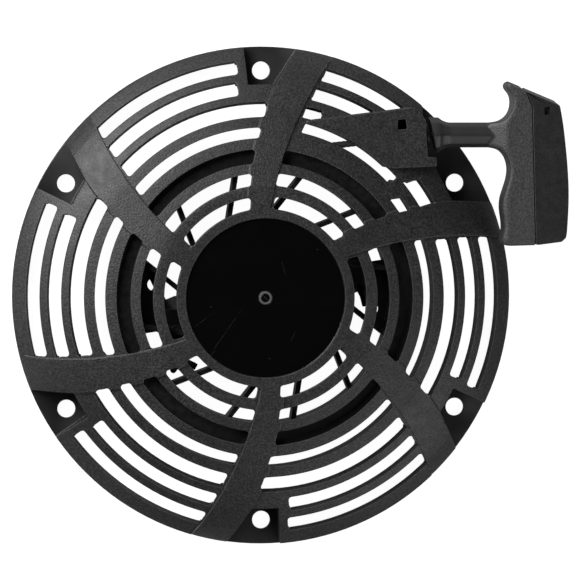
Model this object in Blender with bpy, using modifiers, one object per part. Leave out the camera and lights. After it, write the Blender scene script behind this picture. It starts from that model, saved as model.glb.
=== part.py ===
"""Recoil starter of a small vertical-shaft engine, as the pieces it comes apart into.

Sizes are named in millimetres and degrees, and the helpers turn them into metres. The origin is on the
reel's axis in the plane of the mounting face, +Z points away from the engine, and +X is the way that the
handle is pulled. Angles are measured from +X about +Z.
"""

import math

import bmesh
import bpy
from mathutils import Matrix, Vector

MM = 0.001

# Housing: a dome of ring ribs and spiral arms over the reel.
RIM_R = 125.0
RIM_WALL = 3.5
SHELL = 3.5
ARM_RISE = 1.1
HUB_R = 44.3
HUB_TOP = 36.2
CAP_R = 39.5
CAP_TOP = 34.6
SHOULDER = (53.0, 35.0)
# Radius and height of the dome's creases, which run inside the slots so that each rib has a flat top.
DOME = (
    (59.0, 34.3), (70.4, 32.0), (81.9, 29.3), (92.8, 26.4),
    (103.8, 22.0), (114.3, 16.5), (123.8, 9.2), (RIM_R, 7.8),
)
BELOW = -1.0
HUB_INNER_R = 41.0
RIM_INSET_R = RIM_R - 0.6
# Heights of cutters that pass through everything.
THROUGH = (-5.0, 50.0)
STEPS = 48
SECTOR = 60.0
FIRST_HOLE = 30.0
HOLES = [FIRST_HOLE + SECTOR * k for k in range(6)]
# Slots of one sector: inner radius, outer radius, start and end angle from the bolt hole.
SLOTS = (
    (111.6, 117.0, 6.3, 45.0),
    (101.0, 106.6, 7.0, 46.5),
    (89.8, 95.9, -0.7, 48.0),
    (79.3, 84.5, 1.5, 50.2),
    (67.0, 73.8, 4.4, 52.7),
    (55.9, 62.0, 6.7, 54.5),
    (HUB_R, 50.3, 8.9, 54.9),
)
# The sector with the rope channel keeps only the inner rings and has its own outer slots.
INNER_SLOTS = SLOTS[4:]
ROPE_SLOTS = (
    (111.6, 117.0, 24.7, 44.5),
    (101.0, 106.6, 32.0, 46.0),
    (91.5, 95.9, 43.5, 47.5),
    (84.0, 89.0, 12.0, 47.0),
)
ROPE_WINDOWS = ((89.8, 95.9, -0.7, 8.8), (79.3, 84.5, 1.5, 8.0))
WINDOW_LIMIT_Y = 60.0

# Spiral arms: each edge's angle at the hub and its change per millimetre of radius.
ARM_TRAIL = (-3.3, -0.170)
ARM_LEAD = (11.0, -0.2426)
ARM_START_R = 47.5

# Bolt pockets, open at the rim, down to a flat floor.
BOLT_R = 113.0
BOLT_HOLE_R = 4.5
POCKET_R = 106.0
POCKET_SIDE = 4.2
POCKET_WALL = 2.6
FLOOR = 3.5

# Skirt around the reel, and the post that the reel turns on.
SKIRT_R = 85.0
SKIRT_WALL = 2.2
SKIRT_LOW = 4.0
POST_R = 6.5
POST_LOW = 9.5
SCREW_R = 2.3
CLEARANCE = 0.3

# Rope: wound on the reel, out through the channel, into the handle.
ROPE_R = 1.75
WRAP_R = 71.0
LAYER = 3.8
PITCH = 3.85
WRAP_TOP = 23.2
ANCHOR_ANGLE = 214.0
ROPE_SLOPE = 6.6
AXIS_Y = 80.7
AXIS_Z = 22.5
OUTLET_X = 79.0

# Rope channel: a flat-topped box over the dome.
CHANNEL_TOP = 29.6
CHANNEL_WALL = 2.4
CHANNEL_ROOF = 2.2
CHANNEL_INNER_R = 89.0
# A web between these heights divides the rope's space from the hollow underside.
CHANNEL_WEB = (10.0, 12.0)
CHANNEL_WINDOW = ((66.4, 83.4), (71.0, 83.8), (70.4, 88.6), (66.6, 88.4))
OUTLET_R = 4.6
ROPE_WAY_R = 3.4

# Reel.
REEL_RIM = 75.5
REEL_FLOOR_R = 64.4
REEL_INNER_R = 62.2
REEL_LOW = 12.4
REEL_TOP = 26.4
REEL_FLANGE = 1.2
REEL_WALL_TOP = 28.4
CUP_R = 43.0
CUP_WALL = 2.0
CUP_TOP = 30.4
WEB_LOW = 15.0
WEB = 2.0
BORE_R = 8.9
HUB_TUBE_R = 11.6
HUB_TUBE_LOW = 9.8
HUB_TUBE_TOP = 30.8
SPOKES = 12
SPOKE_ANGLE = 14.0
SPOKE_WIDTH = 2.5

# Pawls, their pins and the guide plate that throws them out.
PAWL_LOW = 7.8
PAWL_TOP = 11.8
PAWL_R = 47.0
PAWL_ANGLE = 203.0
PAWL_TIP = (54.5, 175.0)
PAWL_SWING = 20.0
GUIDE_TURN = 6.0
PEG_ARM = 8.5
PEG_R = 1.5
PIN_R = 1.8
PIN_TOP = 17.0
GUIDE_LOW = 5.5
GUIDE_TOP = 7.3

# Handle.
GRIP_LOW = 13.0
GRIP_TOP = 32.0
STEM_R = 6.4
COLLAR_R = 9.0
COLLAR_X = 83.4
GRIP_X = 117.0

PART_NAME = "recoil_starter"
# Pieces whose cuts meet edge on edge, where the EXACT solver leaves cracks.
MANIFOLD_PIECES = ("housing", "reel", "rope_coil", "rope_handle_end")


# ---------------------------------------------------------------- helpers


def metres(point):
    return Vector(point) * MM


def polar(radius, degrees, z=0.0):
    angle = math.radians(degrees)
    return (radius * math.cos(angle), radius * math.sin(angle), z)


def arc(radius, start, end, step=360.0 / STEPS):
    """Points along an arc, on whole steps from +X so that they meet the shell's own edges."""
    low, high = min(start, end), max(start, end)
    first = math.floor(low / step) + 1
    inner = [i * step for i in range(first, math.ceil(high / step)) if low + 0.4 < i * step < high - 0.4]
    angles = [low, *inner, high]
    if start > end:
        angles.reverse()
    return [polar(radius, a)[:2] for a in angles]


def sector(inner, outer, start, end):
    """Outline of a piece of a ring."""
    return arc(outer, start, end) + arc(inner, end, start)


def dome_height(radius):
    """Height of the ribs' top at a radius."""
    stations = ((0.0, SHOULDER[1]), SHOULDER, *DOME)
    for (r0, z0), (r1, z1) in zip(stations, stations[1:]):
        if radius <= r1:
            return z0 + (z1 - z0) * (radius - r0) / (r1 - r0)
    return DOME[-1][1]


def circle(radius, points, centre=(0.0, 0.0)):
    return [(centre[0] + radius * math.cos(a), centre[1] + radius * math.sin(a))
            for a in (2 * math.pi * i / points for i in range(points))]


def collection_named(name, hidden=False):
    group = bpy.data.collections.new(name)
    bpy.context.scene.collection.children.link(group)
    group.hide_render = hidden
    return group


def material_named(name, colour, roughness, metallic=0.0):
    material = bpy.data.materials.new(name)
    material.use_nodes = True
    shader = material.node_tree.nodes["Principled BSDF"]
    shader.inputs["Base Color"].default_value = (*colour, 1.0)
    shader.inputs["Roughness"].default_value = roughness
    shader.inputs["Metallic"].default_value = metallic
    return material


def add_object(name, mesh, group):
    obj = bpy.data.objects.new(name, mesh)
    group.objects.link(obj)
    return obj


def as_mesh(obj):
    """Replace an object by a plain mesh of its evaluated shape, with a curve's caps welded."""
    evaluated = obj.evaluated_get(bpy.context.evaluated_depsgraph_get())
    mesh = bpy.data.meshes.new_from_object(evaluated)
    cage = bmesh.new()
    cage.from_mesh(mesh)
    bmesh.ops.remove_doubles(cage, verts=cage.verts, dist=0.001 * MM)
    bmesh.ops.recalc_face_normals(cage, faces=cage.faces)
    cage.to_mesh(mesh)
    cage.free()
    name, place, group = obj.name, obj.matrix_world.copy(), obj.users_collection[0]
    bpy.data.objects.remove(obj)
    solid = add_object(name, mesh, group)
    solid.matrix_world = place
    return solid


def plate(name, outlines, low, high, group):
    """Flat solid between two heights; outlines inside others are holes."""
    curve = bpy.data.curves.new(name, "CURVE")
    curve.dimensions = "2D"
    curve.fill_mode = "BOTH"
    curve.extrude = (high - low) / 2 * MM
    for outline in outlines:
        spline = curve.splines.new("POLY")
        spline.points.add(len(outline) - 1)
        for point, (x, y) in zip(spline.points, outline):
            point.co = (x * MM, y * MM, 0.0, 1.0)
        spline.use_cyclic_u = True
    obj = add_object(name, curve, group)
    obj.location.z = (low + high) / 2 * MM
    bpy.context.view_layer.update()
    return as_mesh(obj)


def tube(name, points, radius, group, cyclic=False):
    """Round rod or wire along points."""
    curve = bpy.data.curves.new(name, "CURVE")
    curve.dimensions = "3D"
    curve.bevel_depth = radius * MM
    curve.bevel_resolution = 1
    curve.use_fill_caps = not cyclic
    spline = curve.splines.new("POLY")
    spline.points.add(len(points) - 1)
    for point, place in zip(spline.points, points):
        point.co = (*metres(place), 1.0)
    spline.use_cyclic_u = cyclic
    return as_mesh(add_object(name, curve, group))


def turned(name, profile, group, steps=STEPS, closed=True):
    """Solid of revolution about Z from (radius, height) points that run down the outer side."""
    mesh = bpy.data.meshes.new(name)
    last = len(profile) - 1
    edges = [(i, i + 1) for i in range(last)] + ([(last, 0)] if closed else [])
    mesh.from_pydata([(r * MM, 0.0, z * MM) for r, z in profile], edges, [])
    obj = add_object(name, mesh, group)
    screw = obj.modifiers.new("turn", "SCREW")
    screw.steps = steps
    screw.render_steps = steps
    screw.use_merge_vertices = True
    screw.merge_threshold = 0.00001
    return as_mesh(obj)


def ring(name, inner, outer, low, high, group, steps=24):
    profile = ((inner, high), (outer, high), (outer, low), (inner, low))
    return turned(name, profile, group, steps)


def disc(name, radius, low, high, group, steps=24):
    profile = ((0.0, high), (radius, high), (radius, low), (0.0, low))
    return turned(name, profile, group, steps, closed=False)


def place(obj, position, turn=None):
    """Move a piece whose mesh was drawn about the origin."""
    obj.matrix_world = Matrix.Translation(metres(position)) @ (turn or Matrix.Identity(4))
    return obj


def along_x(degrees=0.0):
    """Turn that lays a piece's Z axis along +X, then yaws it."""
    return Matrix.Rotation(math.radians(degrees), 4, "Z") @ Matrix.Rotation(math.radians(90), 4, "Y")


def boolean(target, tool, operation):
    change = target.modifiers.new(f"{operation.lower()} {tool.name}", "BOOLEAN")
    change.operation = operation
    change.solver = "MANIFOLD" if target.name in MANIFOLD_PIECES else "EXACT"
    change.object = tool
    tool.display_type = "WIRE"
    tool.hide_render = True


def cut(target, *tools):
    for tool in tools:
        boolean(target, tool, "DIFFERENCE")


def join(target, *tools):
    for tool in tools:
        boolean(target, tool, "UNION")


def finish(obj, material, sharp=35.0):
    """Give a piece its material and smooth its round faces."""
    obj.data.materials.clear()
    obj.data.materials.append(material)
    obj.data.shade_smooth()
    obj.data.set_sharp_from_angle(angle=math.radians(sharp))


# ---------------------------------------------------------------- housing


def arm_edge(edge, radius):
    return edge[0] + edge[1] * (radius - ARM_START_R)


def arm_outline(hole):
    radii = [42.0, 55.0, 68.0, 81.0, 94.0, 107.0, 118.0, 127.0]
    lead = [polar(r, hole + arm_edge(ARM_LEAD, r))[:2] for r in radii]
    trail = [polar(r, hole + arm_edge(ARM_TRAIL, r))[:2] for r in radii]
    return lead + trail[::-1]


def pocket_outline(hole, inner, outer, wall):
    """Trapezoid beside an arm; wall widens it on its three closed sides."""
    swell = math.degrees(wall / BOLT_R)
    inner_lead = hole + arm_edge(ARM_LEAD, inner) - swell
    outer_lead = hole + arm_edge(ARM_LEAD, outer) - swell
    side = hole + POCKET_SIDE + swell
    return [polar(outer, outer_lead)[:2], polar(outer, side)[:2], *arc(inner, side, inner_lead)]


def outlet_pocket_outline(inner, outer, wall):
    """The first hole's pocket also clears the handle's collar, up to the channel's end wall."""
    swell = math.degrees(wall / BOLT_R)
    hole = FIRST_HOLE
    outer_lead = polar(outer, hole + arm_edge(ARM_LEAD, outer) - swell)[:2]
    inner_lead = polar(inner, hole + arm_edge(ARM_LEAD, inner) - swell)[:2]
    return [
        outer_lead, polar(outer, 40.0)[:2], (80.8 - wall, 102.0),
        (80.8 - wall, 69.4), (86.0 - wall, 68.8), (86.0 - wall, 64.8), inner_lead,
    ]


def channel_outline(wall):
    """Plan of the rope channel, inset by a wall."""
    inner = CHANNEL_INNER_R + wall
    return [
        *arc(inner, 46.5 + wall / 2, 76.0 - wall),
        (21.0 + 3 * wall, 87.8 - wall * 0.6),
        (73.8 - wall * 0.6, 94.4 - wall * 1.2),
        (76.4 - wall, 93.2 - wall * 1.4),
        (80.4 - wall, 88.4 - wall),
        (81.4 - wall, 70.0 + wall),
        (85.8 - wall, 69.4),
        (86.0 - wall, 65.2 + wall),
        (65.6 + wall, 64.4 + wall),
    ]


def rope_tangent_point():
    return Vector(polar(WRAP_R, 90.0 + ROPE_SLOPE, WRAP_TOP))


def rope_point(x):
    """Point of the straight rope at an x, sloping from the reel's top strand to the outlet."""
    start = rope_tangent_point()
    reach = (x - start.x) / (OUTLET_X - start.x)
    y = start.y + (x - start.x) * math.tan(math.radians(ROPE_SLOPE))
    return (x, y, start.z + (AXIS_Z - start.z) * reach)


def housing_slots(cutters):
    outlines = []
    for hole in HOLES:
        rings = INNER_SLOTS if hole == FIRST_HOLE else SLOTS
        outlines += [sector(inner, outer, hole + start, hole + end) for inner, outer, start, end in rings]
    hole = FIRST_HOLE
    outlines += [sector(inner, outer, hole + start, hole + end) for inner, outer, start, end in ROPE_SLOTS]
    for inner, outer, start, end in ROPE_WINDOWS:
        window = sector(inner, outer, hole + start, hole + end)
        outlines.append([(x, min(y, WINDOW_LIMIT_Y)) for x, y in window])
    return plate("slot_cutter", outlines, *THROUGH, cutters)


def spiral_arms(cutters):
    """A raised copy of the dome's skin, kept only where the arms run."""
    raised = [(HUB_INNER_R, 33.2), (HUB_INNER_R, SHOULDER[1] + ARM_RISE)]
    raised += [(r, z + ARM_RISE) for r, z in (SHOULDER, *DOME[:-1])]
    raised += [(RIM_INSET_R, DOME[-1][1] + ARM_RISE), (RIM_INSET_R, 6.0)]
    raised += [(r, z - 1.8) for r, z in DOME[-2::-1]] + [(SHOULDER[0], 33.2)]
    arm_shell = turned("arms", raised, cutters)
    prisms = plate("arm_prisms", [arm_outline(h) for h in HOLES], *THROUGH, cutters)
    boolean(arm_shell, prisms, "INTERSECT")
    return arm_shell


def pocket_blocks(cutters):
    """Solid corners of the dome around the bolt pockets."""
    envelope = [(0.0, SHOULDER[1] - 0.8), (SHOULDER[0], SHOULDER[1] - 0.8)]
    envelope += [(r, z - 0.8) for r, z in DOME[:-2]]
    envelope += [(RIM_INSET_R, 7.0), (RIM_INSET_R, 2.0 * BELOW), (0.0, 2.0 * BELOW)]
    blocks = turned("pocket_blocks", envelope, cutters, closed=False)
    inner = POCKET_R - POCKET_WALL
    outlines = [pocket_outline(h, inner, 130.0, POCKET_WALL) for h in HOLES[1:]]
    outlines.append(outlet_pocket_outline(inner, 130.0, POCKET_WALL))
    boolean(blocks, plate("block_prisms", outlines, *THROUGH, cutters), "INTERSECT")
    return blocks


def housing(parts, cutters):
    top = [(0.0, CAP_TOP), (CAP_R, CAP_TOP), (CAP_R + 0.4, HUB_TOP), (HUB_R + 0.5, HUB_TOP),
           (HUB_R + 0.9, SHOULDER[1]), SHOULDER, *DOME]
    rim_inner = RIM_R - RIM_WALL
    under = [(RIM_R, BELOW), (rim_inner, BELOW), (rim_inner, dome_height(rim_inner) - SHELL)]
    under += [(r, z - SHELL) for r, z in DOME[-3::-1]]
    under += [(SHOULDER[0], SHOULDER[1] - SHELL), (0.0, SHOULDER[1] - SHELL)]
    shell = turned("housing", top + under, parts, closed=False)
    join(shell, ring("skirt", SKIRT_R, SKIRT_R + SKIRT_WALL, SKIRT_LOW, 26.5, cutters, STEPS))
    join(shell, spiral_arms(cutters), pocket_blocks(cutters))
    cut(shell, housing_slots(cutters))

    pockets = [pocket_outline(h, POCKET_R, 132.0, 0.0) for h in HOLES[1:]]
    pockets.append(outlet_pocket_outline(POCKET_R, 132.0, 0.0))
    cut(shell, plate("pocket_cutter", pockets, FLOOR, THROUGH[1], cutters))
    add_channel(shell, cutters)

    bolts = [circle(BOLT_HOLE_R, 20, polar(BOLT_R, h)) for h in HOLES]
    cut(shell, plate("bolt_cutter", bolts, *THROUGH, cutters))
    cut(shell, disc("below_mounting_face", RIM_R + 10.0, -20.0, 0.0, cutters, 12))
    join(shell, ring("post", SCREW_R + CLEARANCE, POST_R, POST_LOW, 32.5, cutters))
    return shell


def add_channel(shell, cutters):
    """Box that leads the rope out, with a window in its roof and a bored end wall for the eyelet."""
    inside = [channel_outline(CHANNEL_WALL)]
    web_low, web_top = CHANNEL_WEB
    join(shell, plate("channel", [channel_outline(0.0)], 2.0, CHANNEL_TOP, cutters))
    cut(shell, plate("channel_hollow", inside, web_top, CHANNEL_TOP - CHANNEL_ROOF, cutters))
    cut(shell, plate("channel_underside", inside, 2.0 * BELOW, web_low, cutters))
    way = disc("rope_way", ROPE_WAY_R, 0.0, 62.0, cutters, 16)
    cut(shell, place(way, rope_point(24.0), along_x(ROPE_SLOPE)))
    outlet = disc("outlet", OUTLET_R, -6.0, 8.0, cutters, 24)
    cut(shell, place(outlet, rope_point(OUTLET_X), along_x(ROPE_SLOPE)))
    cut(shell, plate("channel_window", [CHANNEL_WINDOW], web_top + 8.0, 40.0, cutters))


def rope_eyelet(parts):
    bore = ROPE_R + 0.6
    profile = ((bore + 1.0, 1.9), (5.6, 1.9), (5.6, 1.1), (4.2, 1.1), (4.2, -4.0), (bore, -4.0), (bore, 1.0))
    eyelet = turned("rope_eyelet", profile, parts, 24)
    return place(eyelet, rope_point(OUTLET_X + 1.4), along_x(ROPE_SLOPE))


# ---------------------------------------------------------------- reel and rope


def pawl_pivot(side):
    return Vector(polar(PAWL_R, PAWL_ANGLE + 180.0 * side))


def pawl_reach(side):
    """From the pawl's pin to its tip."""
    return Vector(polar(PAWL_TIP[0], PAWL_TIP[1] + 180.0 * side)) - pawl_pivot(side)


def reel(parts, cutters):
    cup_inner = CUP_R - CUP_WALL
    core = (
        (cup_inner, CUP_TOP), (CUP_R, CUP_TOP), (CUP_R, WEB_LOW), (HUB_TUBE_R, WEB_LOW),
        (HUB_TUBE_R, HUB_TUBE_LOW), (BORE_R, HUB_TUBE_LOW),
        (BORE_R, HUB_TUBE_TOP), (HUB_TUBE_R, HUB_TUBE_TOP),
        (HUB_TUBE_R, WEB_LOW + WEB), (cup_inner, WEB_LOW + WEB),
    )
    body = turned("reel", core, parts, 36)
    rim = (
        (REEL_INNER_R, REEL_WALL_TOP), (REEL_FLOOR_R, REEL_WALL_TOP), (REEL_FLOOR_R, REEL_TOP),
        (REEL_RIM, REEL_TOP), (REEL_RIM, REEL_TOP - REEL_FLANGE), (REEL_FLOOR_R, REEL_TOP - REEL_FLANGE),
        (REEL_FLOOR_R, REEL_LOW + REEL_FLANGE), (REEL_RIM, REEL_LOW + REEL_FLANGE), (REEL_RIM, REEL_LOW),
        (REEL_INNER_R, REEL_LOW),
    )
    join(body, turned("reel_rim", rim, cutters, STEPS), reel_spokes(cutters), *pawl_seats(cutters))
    pins = [circle(PIN_R + CLEARANCE, 12, pawl_pivot(side)) for side in range(2)]
    cut(body, plate("pin_holes", pins, 10.0, PIN_TOP + CLEARANCE, cutters))
    leg = disc("anchor_hole", ROPE_R + 1.4, -5.0, 5.0, cutters, 12)
    anchor = polar(REEL_FLOOR_R - 1.0, ANCHOR_ANGLE - 1.0, anchor_height())
    cut(body, place(leg, anchor, along_x(ANCHOR_ANGLE)))
    return body


def reel_spokes(cutters):
    spokes = []
    for k in range(SPOKES):
        inner = Vector(polar(CUP_R - 0.8, SPOKE_ANGLE + 11.0 + 30.0 * k))
        outer = Vector(polar(REEL_INNER_R + 1.0, SPOKE_ANGLE - 1.0 + 30.0 * k))
        across = (outer - inner).normalized().cross(Vector((0.0, 0.0, 1.0))) * (SPOKE_WIDTH / 2)
        corners = (inner - across, outer - across, outer + across, inner + across)
        spokes.append([tuple(c.xy) for c in corners])
    return plate("spokes", spokes, WEB_LOW, REEL_WALL_TOP - 0.4, cutters)


def pawl_seats(cutters):
    """Pads between the spokes that carry the pawls, each with a boss for its pin."""
    outlines = []
    for side in range(2):
        turn = 180.0 * side
        corners = (
            (CUP_R - 0.8, 209), (CUP_R - 0.8, 189), (50.3, 187), (56.0, 165), (REEL_INNER_R + 0.9, 165),
            (REEL_INNER_R + 0.9, 181), (REEL_INNER_R + 0.9, 197), (56.0, 198), (50.3, 208),
        )
        outlines.append([polar(r, a + turn)[:2] for r, a in corners])
        outlines.append(circle(3.2, 16, polar(55.0, 173.5 + turn)))
    pads = plate("pawl_pads", outlines, WEB_LOW - 0.2, WEB_LOW + WEB + 0.3, cutters)
    rounds = [circle(4.2, 16, pawl_pivot(side)) for side in range(2)]
    bosses = plate("pin_bosses", rounds, WEB_LOW - 0.1, PIN_TOP + 2.0, cutters)

    return pads, bosses


def wound_degrees():
    """Rope wound on the reel, from the tangent point back to the anchor hole."""
    return ANCHOR_ANGLE - (90.0 + ROPE_SLOPE) + 3 * 360.0


def anchor_height():
    return wrap_point(wound_degrees())[2]


def wrap_point(turned_by):
    """Centre of the rope after winding an angle: two turns down the outer layer, then up the inner one."""
    down = 720.0
    angle = 90.0 + ROPE_SLOPE + turned_by
    if turned_by <= down:
        step_in = max(0.0, turned_by - (down - 80.0)) / 80.0
        return polar(WRAP_R - LAYER * step_in, angle, WRAP_TOP - PITCH * turned_by / 360.0)
    return polar(WRAP_R - LAYER, angle, WRAP_TOP - 2 * PITCH + PITCH * (turned_by - down) / 360.0)


def knot(name, size, radius, group, points=24):
    """Closed overhand knot about the origin, its flat side across Z."""
    loop = []
    for i in range(points):
        t = 2 * math.pi * i / points
        loop.append((size * (math.sin(t) + 2 * math.sin(2 * t)), size * (math.cos(t) - 2 * math.cos(2 * t)),
                     -1.3 * size * math.sin(3 * t)))
    return tube(name, loop, radius, group, cyclic=True)


def rope_coil(parts, cutters):
    total = wound_degrees() - 6.0
    count = round(total / 18.0)
    winding = [wrap_point(total * i / count) for i in range(count + 1)]
    z = anchor_height()
    turns_in = ((66.3, -3.2), (64.2, -1.2), (61.0, -0.6), (58.0, 0.0), (53.0, 2.0), (50.0, 7.0), (48.5, 12.0))
    leg = [polar(r, ANCHOR_ANGLE + a, z) for r, a in turns_in]
    coil = tube("rope_coil", winding + leg, ROPE_R, parts)
    tied = knot("coil_knot", 1.8, ROPE_R - 0.15, cutters)
    join(coil, place(tied, polar(55.5, ANCHOR_ANGLE + 1.5, z), along_x(ANCHOR_ANGLE)))
    return coil


def rope_run(parts):
    """Straight rope from just clear of the reel to just short of the handle."""
    return tube("rope_run", [rope_point(x) for x in (16.0, 50.0, OUTLET_X, COLLAR_X - 0.4)], ROPE_R, parts)


def reel_bushing(parts):
    return ring("reel_bushing", POST_R + CLEARANCE, BORE_R - CLEARANCE, 9.9, 30.6, parts)


def spring_case(parts):
    outer = CUP_R - CUP_WALL - CLEARANCE
    floor = WEB_LOW + WEB + CLEARANCE
    profile = ((outer - 0.8, 30.3), (outer, 30.3), (outer, floor), (HUB_TUBE_R + 0.5, floor),
               (HUB_TUBE_R + 0.5, floor + 0.8), (outer - 0.8, floor + 0.8))
    return turned("spring_case", profile, parts, 36)


def rewind_spring(parts):
    """Flat spiral strip: the inner end bends in beside the hub tube, the outer end lies by the case wall."""
    turns, per_turn, thick = 6, 18, 0.7
    inner_r, outer_r = 13.6, 38.6
    count = turns * per_turn
    middle = []
    for i in range(count + 1):
        radius = inner_r + (outer_r - inner_r) * i / count
        middle.append((radius, 360.0 * i / per_turn))
    outer_side = [polar(r + thick / 2, a)[:2] for r, a in middle]
    inner_side = [polar(r - thick / 2, a)[:2] for r, a in middle]
    return plate("rewind_spring", [outer_side + inner_side[::-1]], 18.7, 29.7, parts)


# ---------------------------------------------------------------- pawls and centre stack


def pawl_angle(side):
    reach = pawl_reach(side)
    return math.atan2(reach.y, reach.x)


def pawl(name, side, parts, cutters):
    """Lever with a round eye on its pin, a hooked tip and a peg for the guide's cam slot."""
    reach = pawl_reach(side).length
    eye = [polar(4.6, a)[:2] for a in range(60, 301, 30)]
    lever = [(5.0, -3.4), (reach - 6.0, -2.6), (reach - 1.0, -3.6), (reach, -1.0), (reach - 1.5, 2.6),
             (reach - 9.0, 2.4), (5.0, 3.6)]
    body = plate(name, [eye + lever, circle(PIN_R + CLEARANCE, 12)], PAWL_LOW, PAWL_TOP, parts)
    peg = disc(f"{name}_peg", PEG_R, GUIDE_LOW - 0.3, PAWL_LOW + 1.0, cutters, 12)
    join(body, place(peg, (PEG_ARM, 0.0, 0.0)))
    turn = Matrix.Rotation(pawl_angle(side), 4, "Z")
    peg.matrix_world = Matrix.Translation(pawl_pivot(side) * MM) @ turn @ peg.matrix_world
    flat = Matrix.Translation(Vector((0.0, 0.0, (PAWL_LOW + PAWL_TOP) / 2 * MM)))
    body.matrix_world = Matrix.Translation(pawl_pivot(side) * MM) @ turn @ flat
    return body


def pawl_pin(name, side, parts):
    return place(disc(name, PIN_R, PAWL_LOW, PIN_TOP, parts, 12), pawl_pivot(side))


def pawl_spring(name, side, parts):
    """Torsion spring around the pin, between the pawl and the reel, with a leg along the pawl."""
    wire, radius, low = 0.35, 3.1, 12.6
    start = math.degrees(pawl_angle(side))
    points = [polar(radius, start + 90.0 + 30.0 * i, low + 0.95 * i / 12.0) for i in range(19)]
    leg = Vector(polar(9.0, start, 0.0)) + Vector((points[0][0], points[0][1], low))
    points.insert(0, tuple(leg))
    return place(tube(name, points, wire, parts), pawl_pivot(side))


def cam_path(side):
    """Where the pawl's peg runs in the guide plate while the guide lags and the pawl swings."""
    path = []
    for i in range(-2, 8):
        share = i / 5.0
        swing = Matrix.Rotation(math.radians(PAWL_SWING * share), 3, "Z")
        lag = Matrix.Rotation(math.radians(-GUIDE_TURN * share), 3, "Z")
        peg = lag @ (pawl_pivot(side) + swing @ (pawl_reach(side).normalized() * PEG_ARM))
        path.append((peg.x, peg.y, (GUIDE_LOW + GUIDE_TOP) / 2))
    return path


def pawl_guide(parts, cutters):
    """Disc with two lobes, each with a cam slot for a pawl's peg."""
    core, reach, lobe = 20.0, 36.0, 189.5
    outline = []
    for degrees in range(0, 360, 5):
        away = min(abs((degrees - lobe + 180.0 * k + 180.0) % 360.0 - 180.0) for k in range(3))
        outline.append(polar(core + reach * math.exp(-((away / 11.0) ** 6)), degrees)[:2])
    body = plate("pawl_guide", [outline, circle(3.6, 16)], GUIDE_LOW, GUIDE_TOP, parts)
    cut(body, *[tube(f"cam_slot_{'ab'[side]}", cam_path(side), 2.2, cutters) for side in range(2)])
    return body


def friction_spring(parts):
    """Short coil spring between the screw's head and the guide plate."""
    points = [polar(5.0, 30.0 * i, 3.3 + 1.35 * i / 17.0) for i in range(18)]
    return tube("friction_spring", points, 0.5, parts)


def thrust_washer(parts):
    return ring("thrust_washer", SCREW_R + CLEARANCE, 11.0, 7.7, 9.2, parts)


def center_screw(parts, cutters):
    profile = (
        (0.0, 24.0), (1.6, 24.0), (SCREW_R, 23.2), (SCREW_R, 7.4), (3.2, 7.4),
        (3.2, 2.5), (7.5, 2.5), (7.5, 1.6), (6.2, 0.4), (0.0, 0.4),
    )
    screw = turned("center_screw", profile, parts, 20, closed=False)
    socket = disc("screw_socket", 2.6, -1.0, 2.0, cutters, 6)
    cut(screw, socket)
    return screw


# ---------------------------------------------------------------- handle


GRIP_SPLIT = [(128.8, 105.4), (133.2, 94.7), (135.0, 25.7)]


def grip_outline():
    """Grained part of the T, from the hook over the first finger down to the heel."""
    finger = [
        (124.4, 107.5), (120.9, 104.6), (122.8, 101.4), (123.8, 96.8),
        (122.9, 92.4), (120.2, 89.0), (116.6, 87.4), (113.0, 87.1),
    ]
    palm = [
        (113.0, 74.3), (117.0, 73.6), (120.8, 70.0), (122.6, 64.8), (122.2, 59.0), (120.2, 52.8),
        (118.8, 46.0), (119.6, 38.6), (119.8, 32.0), (118.4, 27.0), (121.6, 25.2),
    ]
    return finger + palm + GRIP_SPLIT[::-1]


def cap_outline(gap=0.3):
    seam = [(x + gap, y) for x, y in GRIP_SPLIT]
    back = [
        (147.0, 97.8), (149.2, 85.0), (151.2, 66.0), (151.9, 50.0),
        (151.2, 34.0), (150.6, 29.4), (148.4, 27.4),
    ]
    return seam[::-1] + back


def grip(parts, cutters):
    body = plate("grip", [grip_outline()], GRIP_LOW, GRIP_TOP, parts)
    stem_end = GRIP_X + 8.0 - COLLAR_X
    stem_profile = (
        (0.0, stem_end), (STEM_R, stem_end), (STEM_R, 6.4),
        (COLLAR_R, 3.6), (COLLAR_R, 0.0), (0.0, 0.0),
    )
    stem = turned("stem", stem_profile, cutters, 20, closed=False)
    join(body, place(stem, (COLLAR_X, AXIS_Y, AXIS_Z), along_x()))
    bore = disc("rope_bore", ROPE_R + 0.4, -2.0, 44.0, cutters, 12)
    cut(body, place(bore, (COLLAR_X, AXIS_Y, AXIS_Z), along_x()))
    pocket = disc("knot_pocket", 7.0, 0.0, 14.0, cutters, 16)
    cut(body, place(pocket, (124.6, AXIS_Y, AXIS_Z), along_x()))
    return body


def grip_cap(parts, cutters):
    cap = plate("grip_cap", [cap_outline()], GRIP_LOW, GRIP_TOP, parts)
    pocket = disc("cap_pocket", 7.0, -3.0, 4.0, cutters, 16)
    cut(cap, place(pocket, (134.6, AXIS_Y, AXIS_Z), along_x()))
    return cap


def grip_washer(parts):
    washer = ring("grip_washer", ROPE_R + 0.5, 5.6, 0.0, 1.2, parts, 20)
    return place(washer, (124.9, AXIS_Y, AXIS_Z), along_x())


def rope_handle_end(parts, cutters):
    rope = tube("rope_handle_end", [(COLLAR_X + 0.2, AXIS_Y, AXIS_Z), (130.0, AXIS_Y, AXIS_Z)], ROPE_R, parts)
    join(rope, place(knot("handle_knot", 1.7, ROPE_R - 0.15, cutters), (130.4, AXIS_Y, AXIS_Z), along_x()))
    return rope


# ---------------------------------------------------------------- assembly


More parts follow.
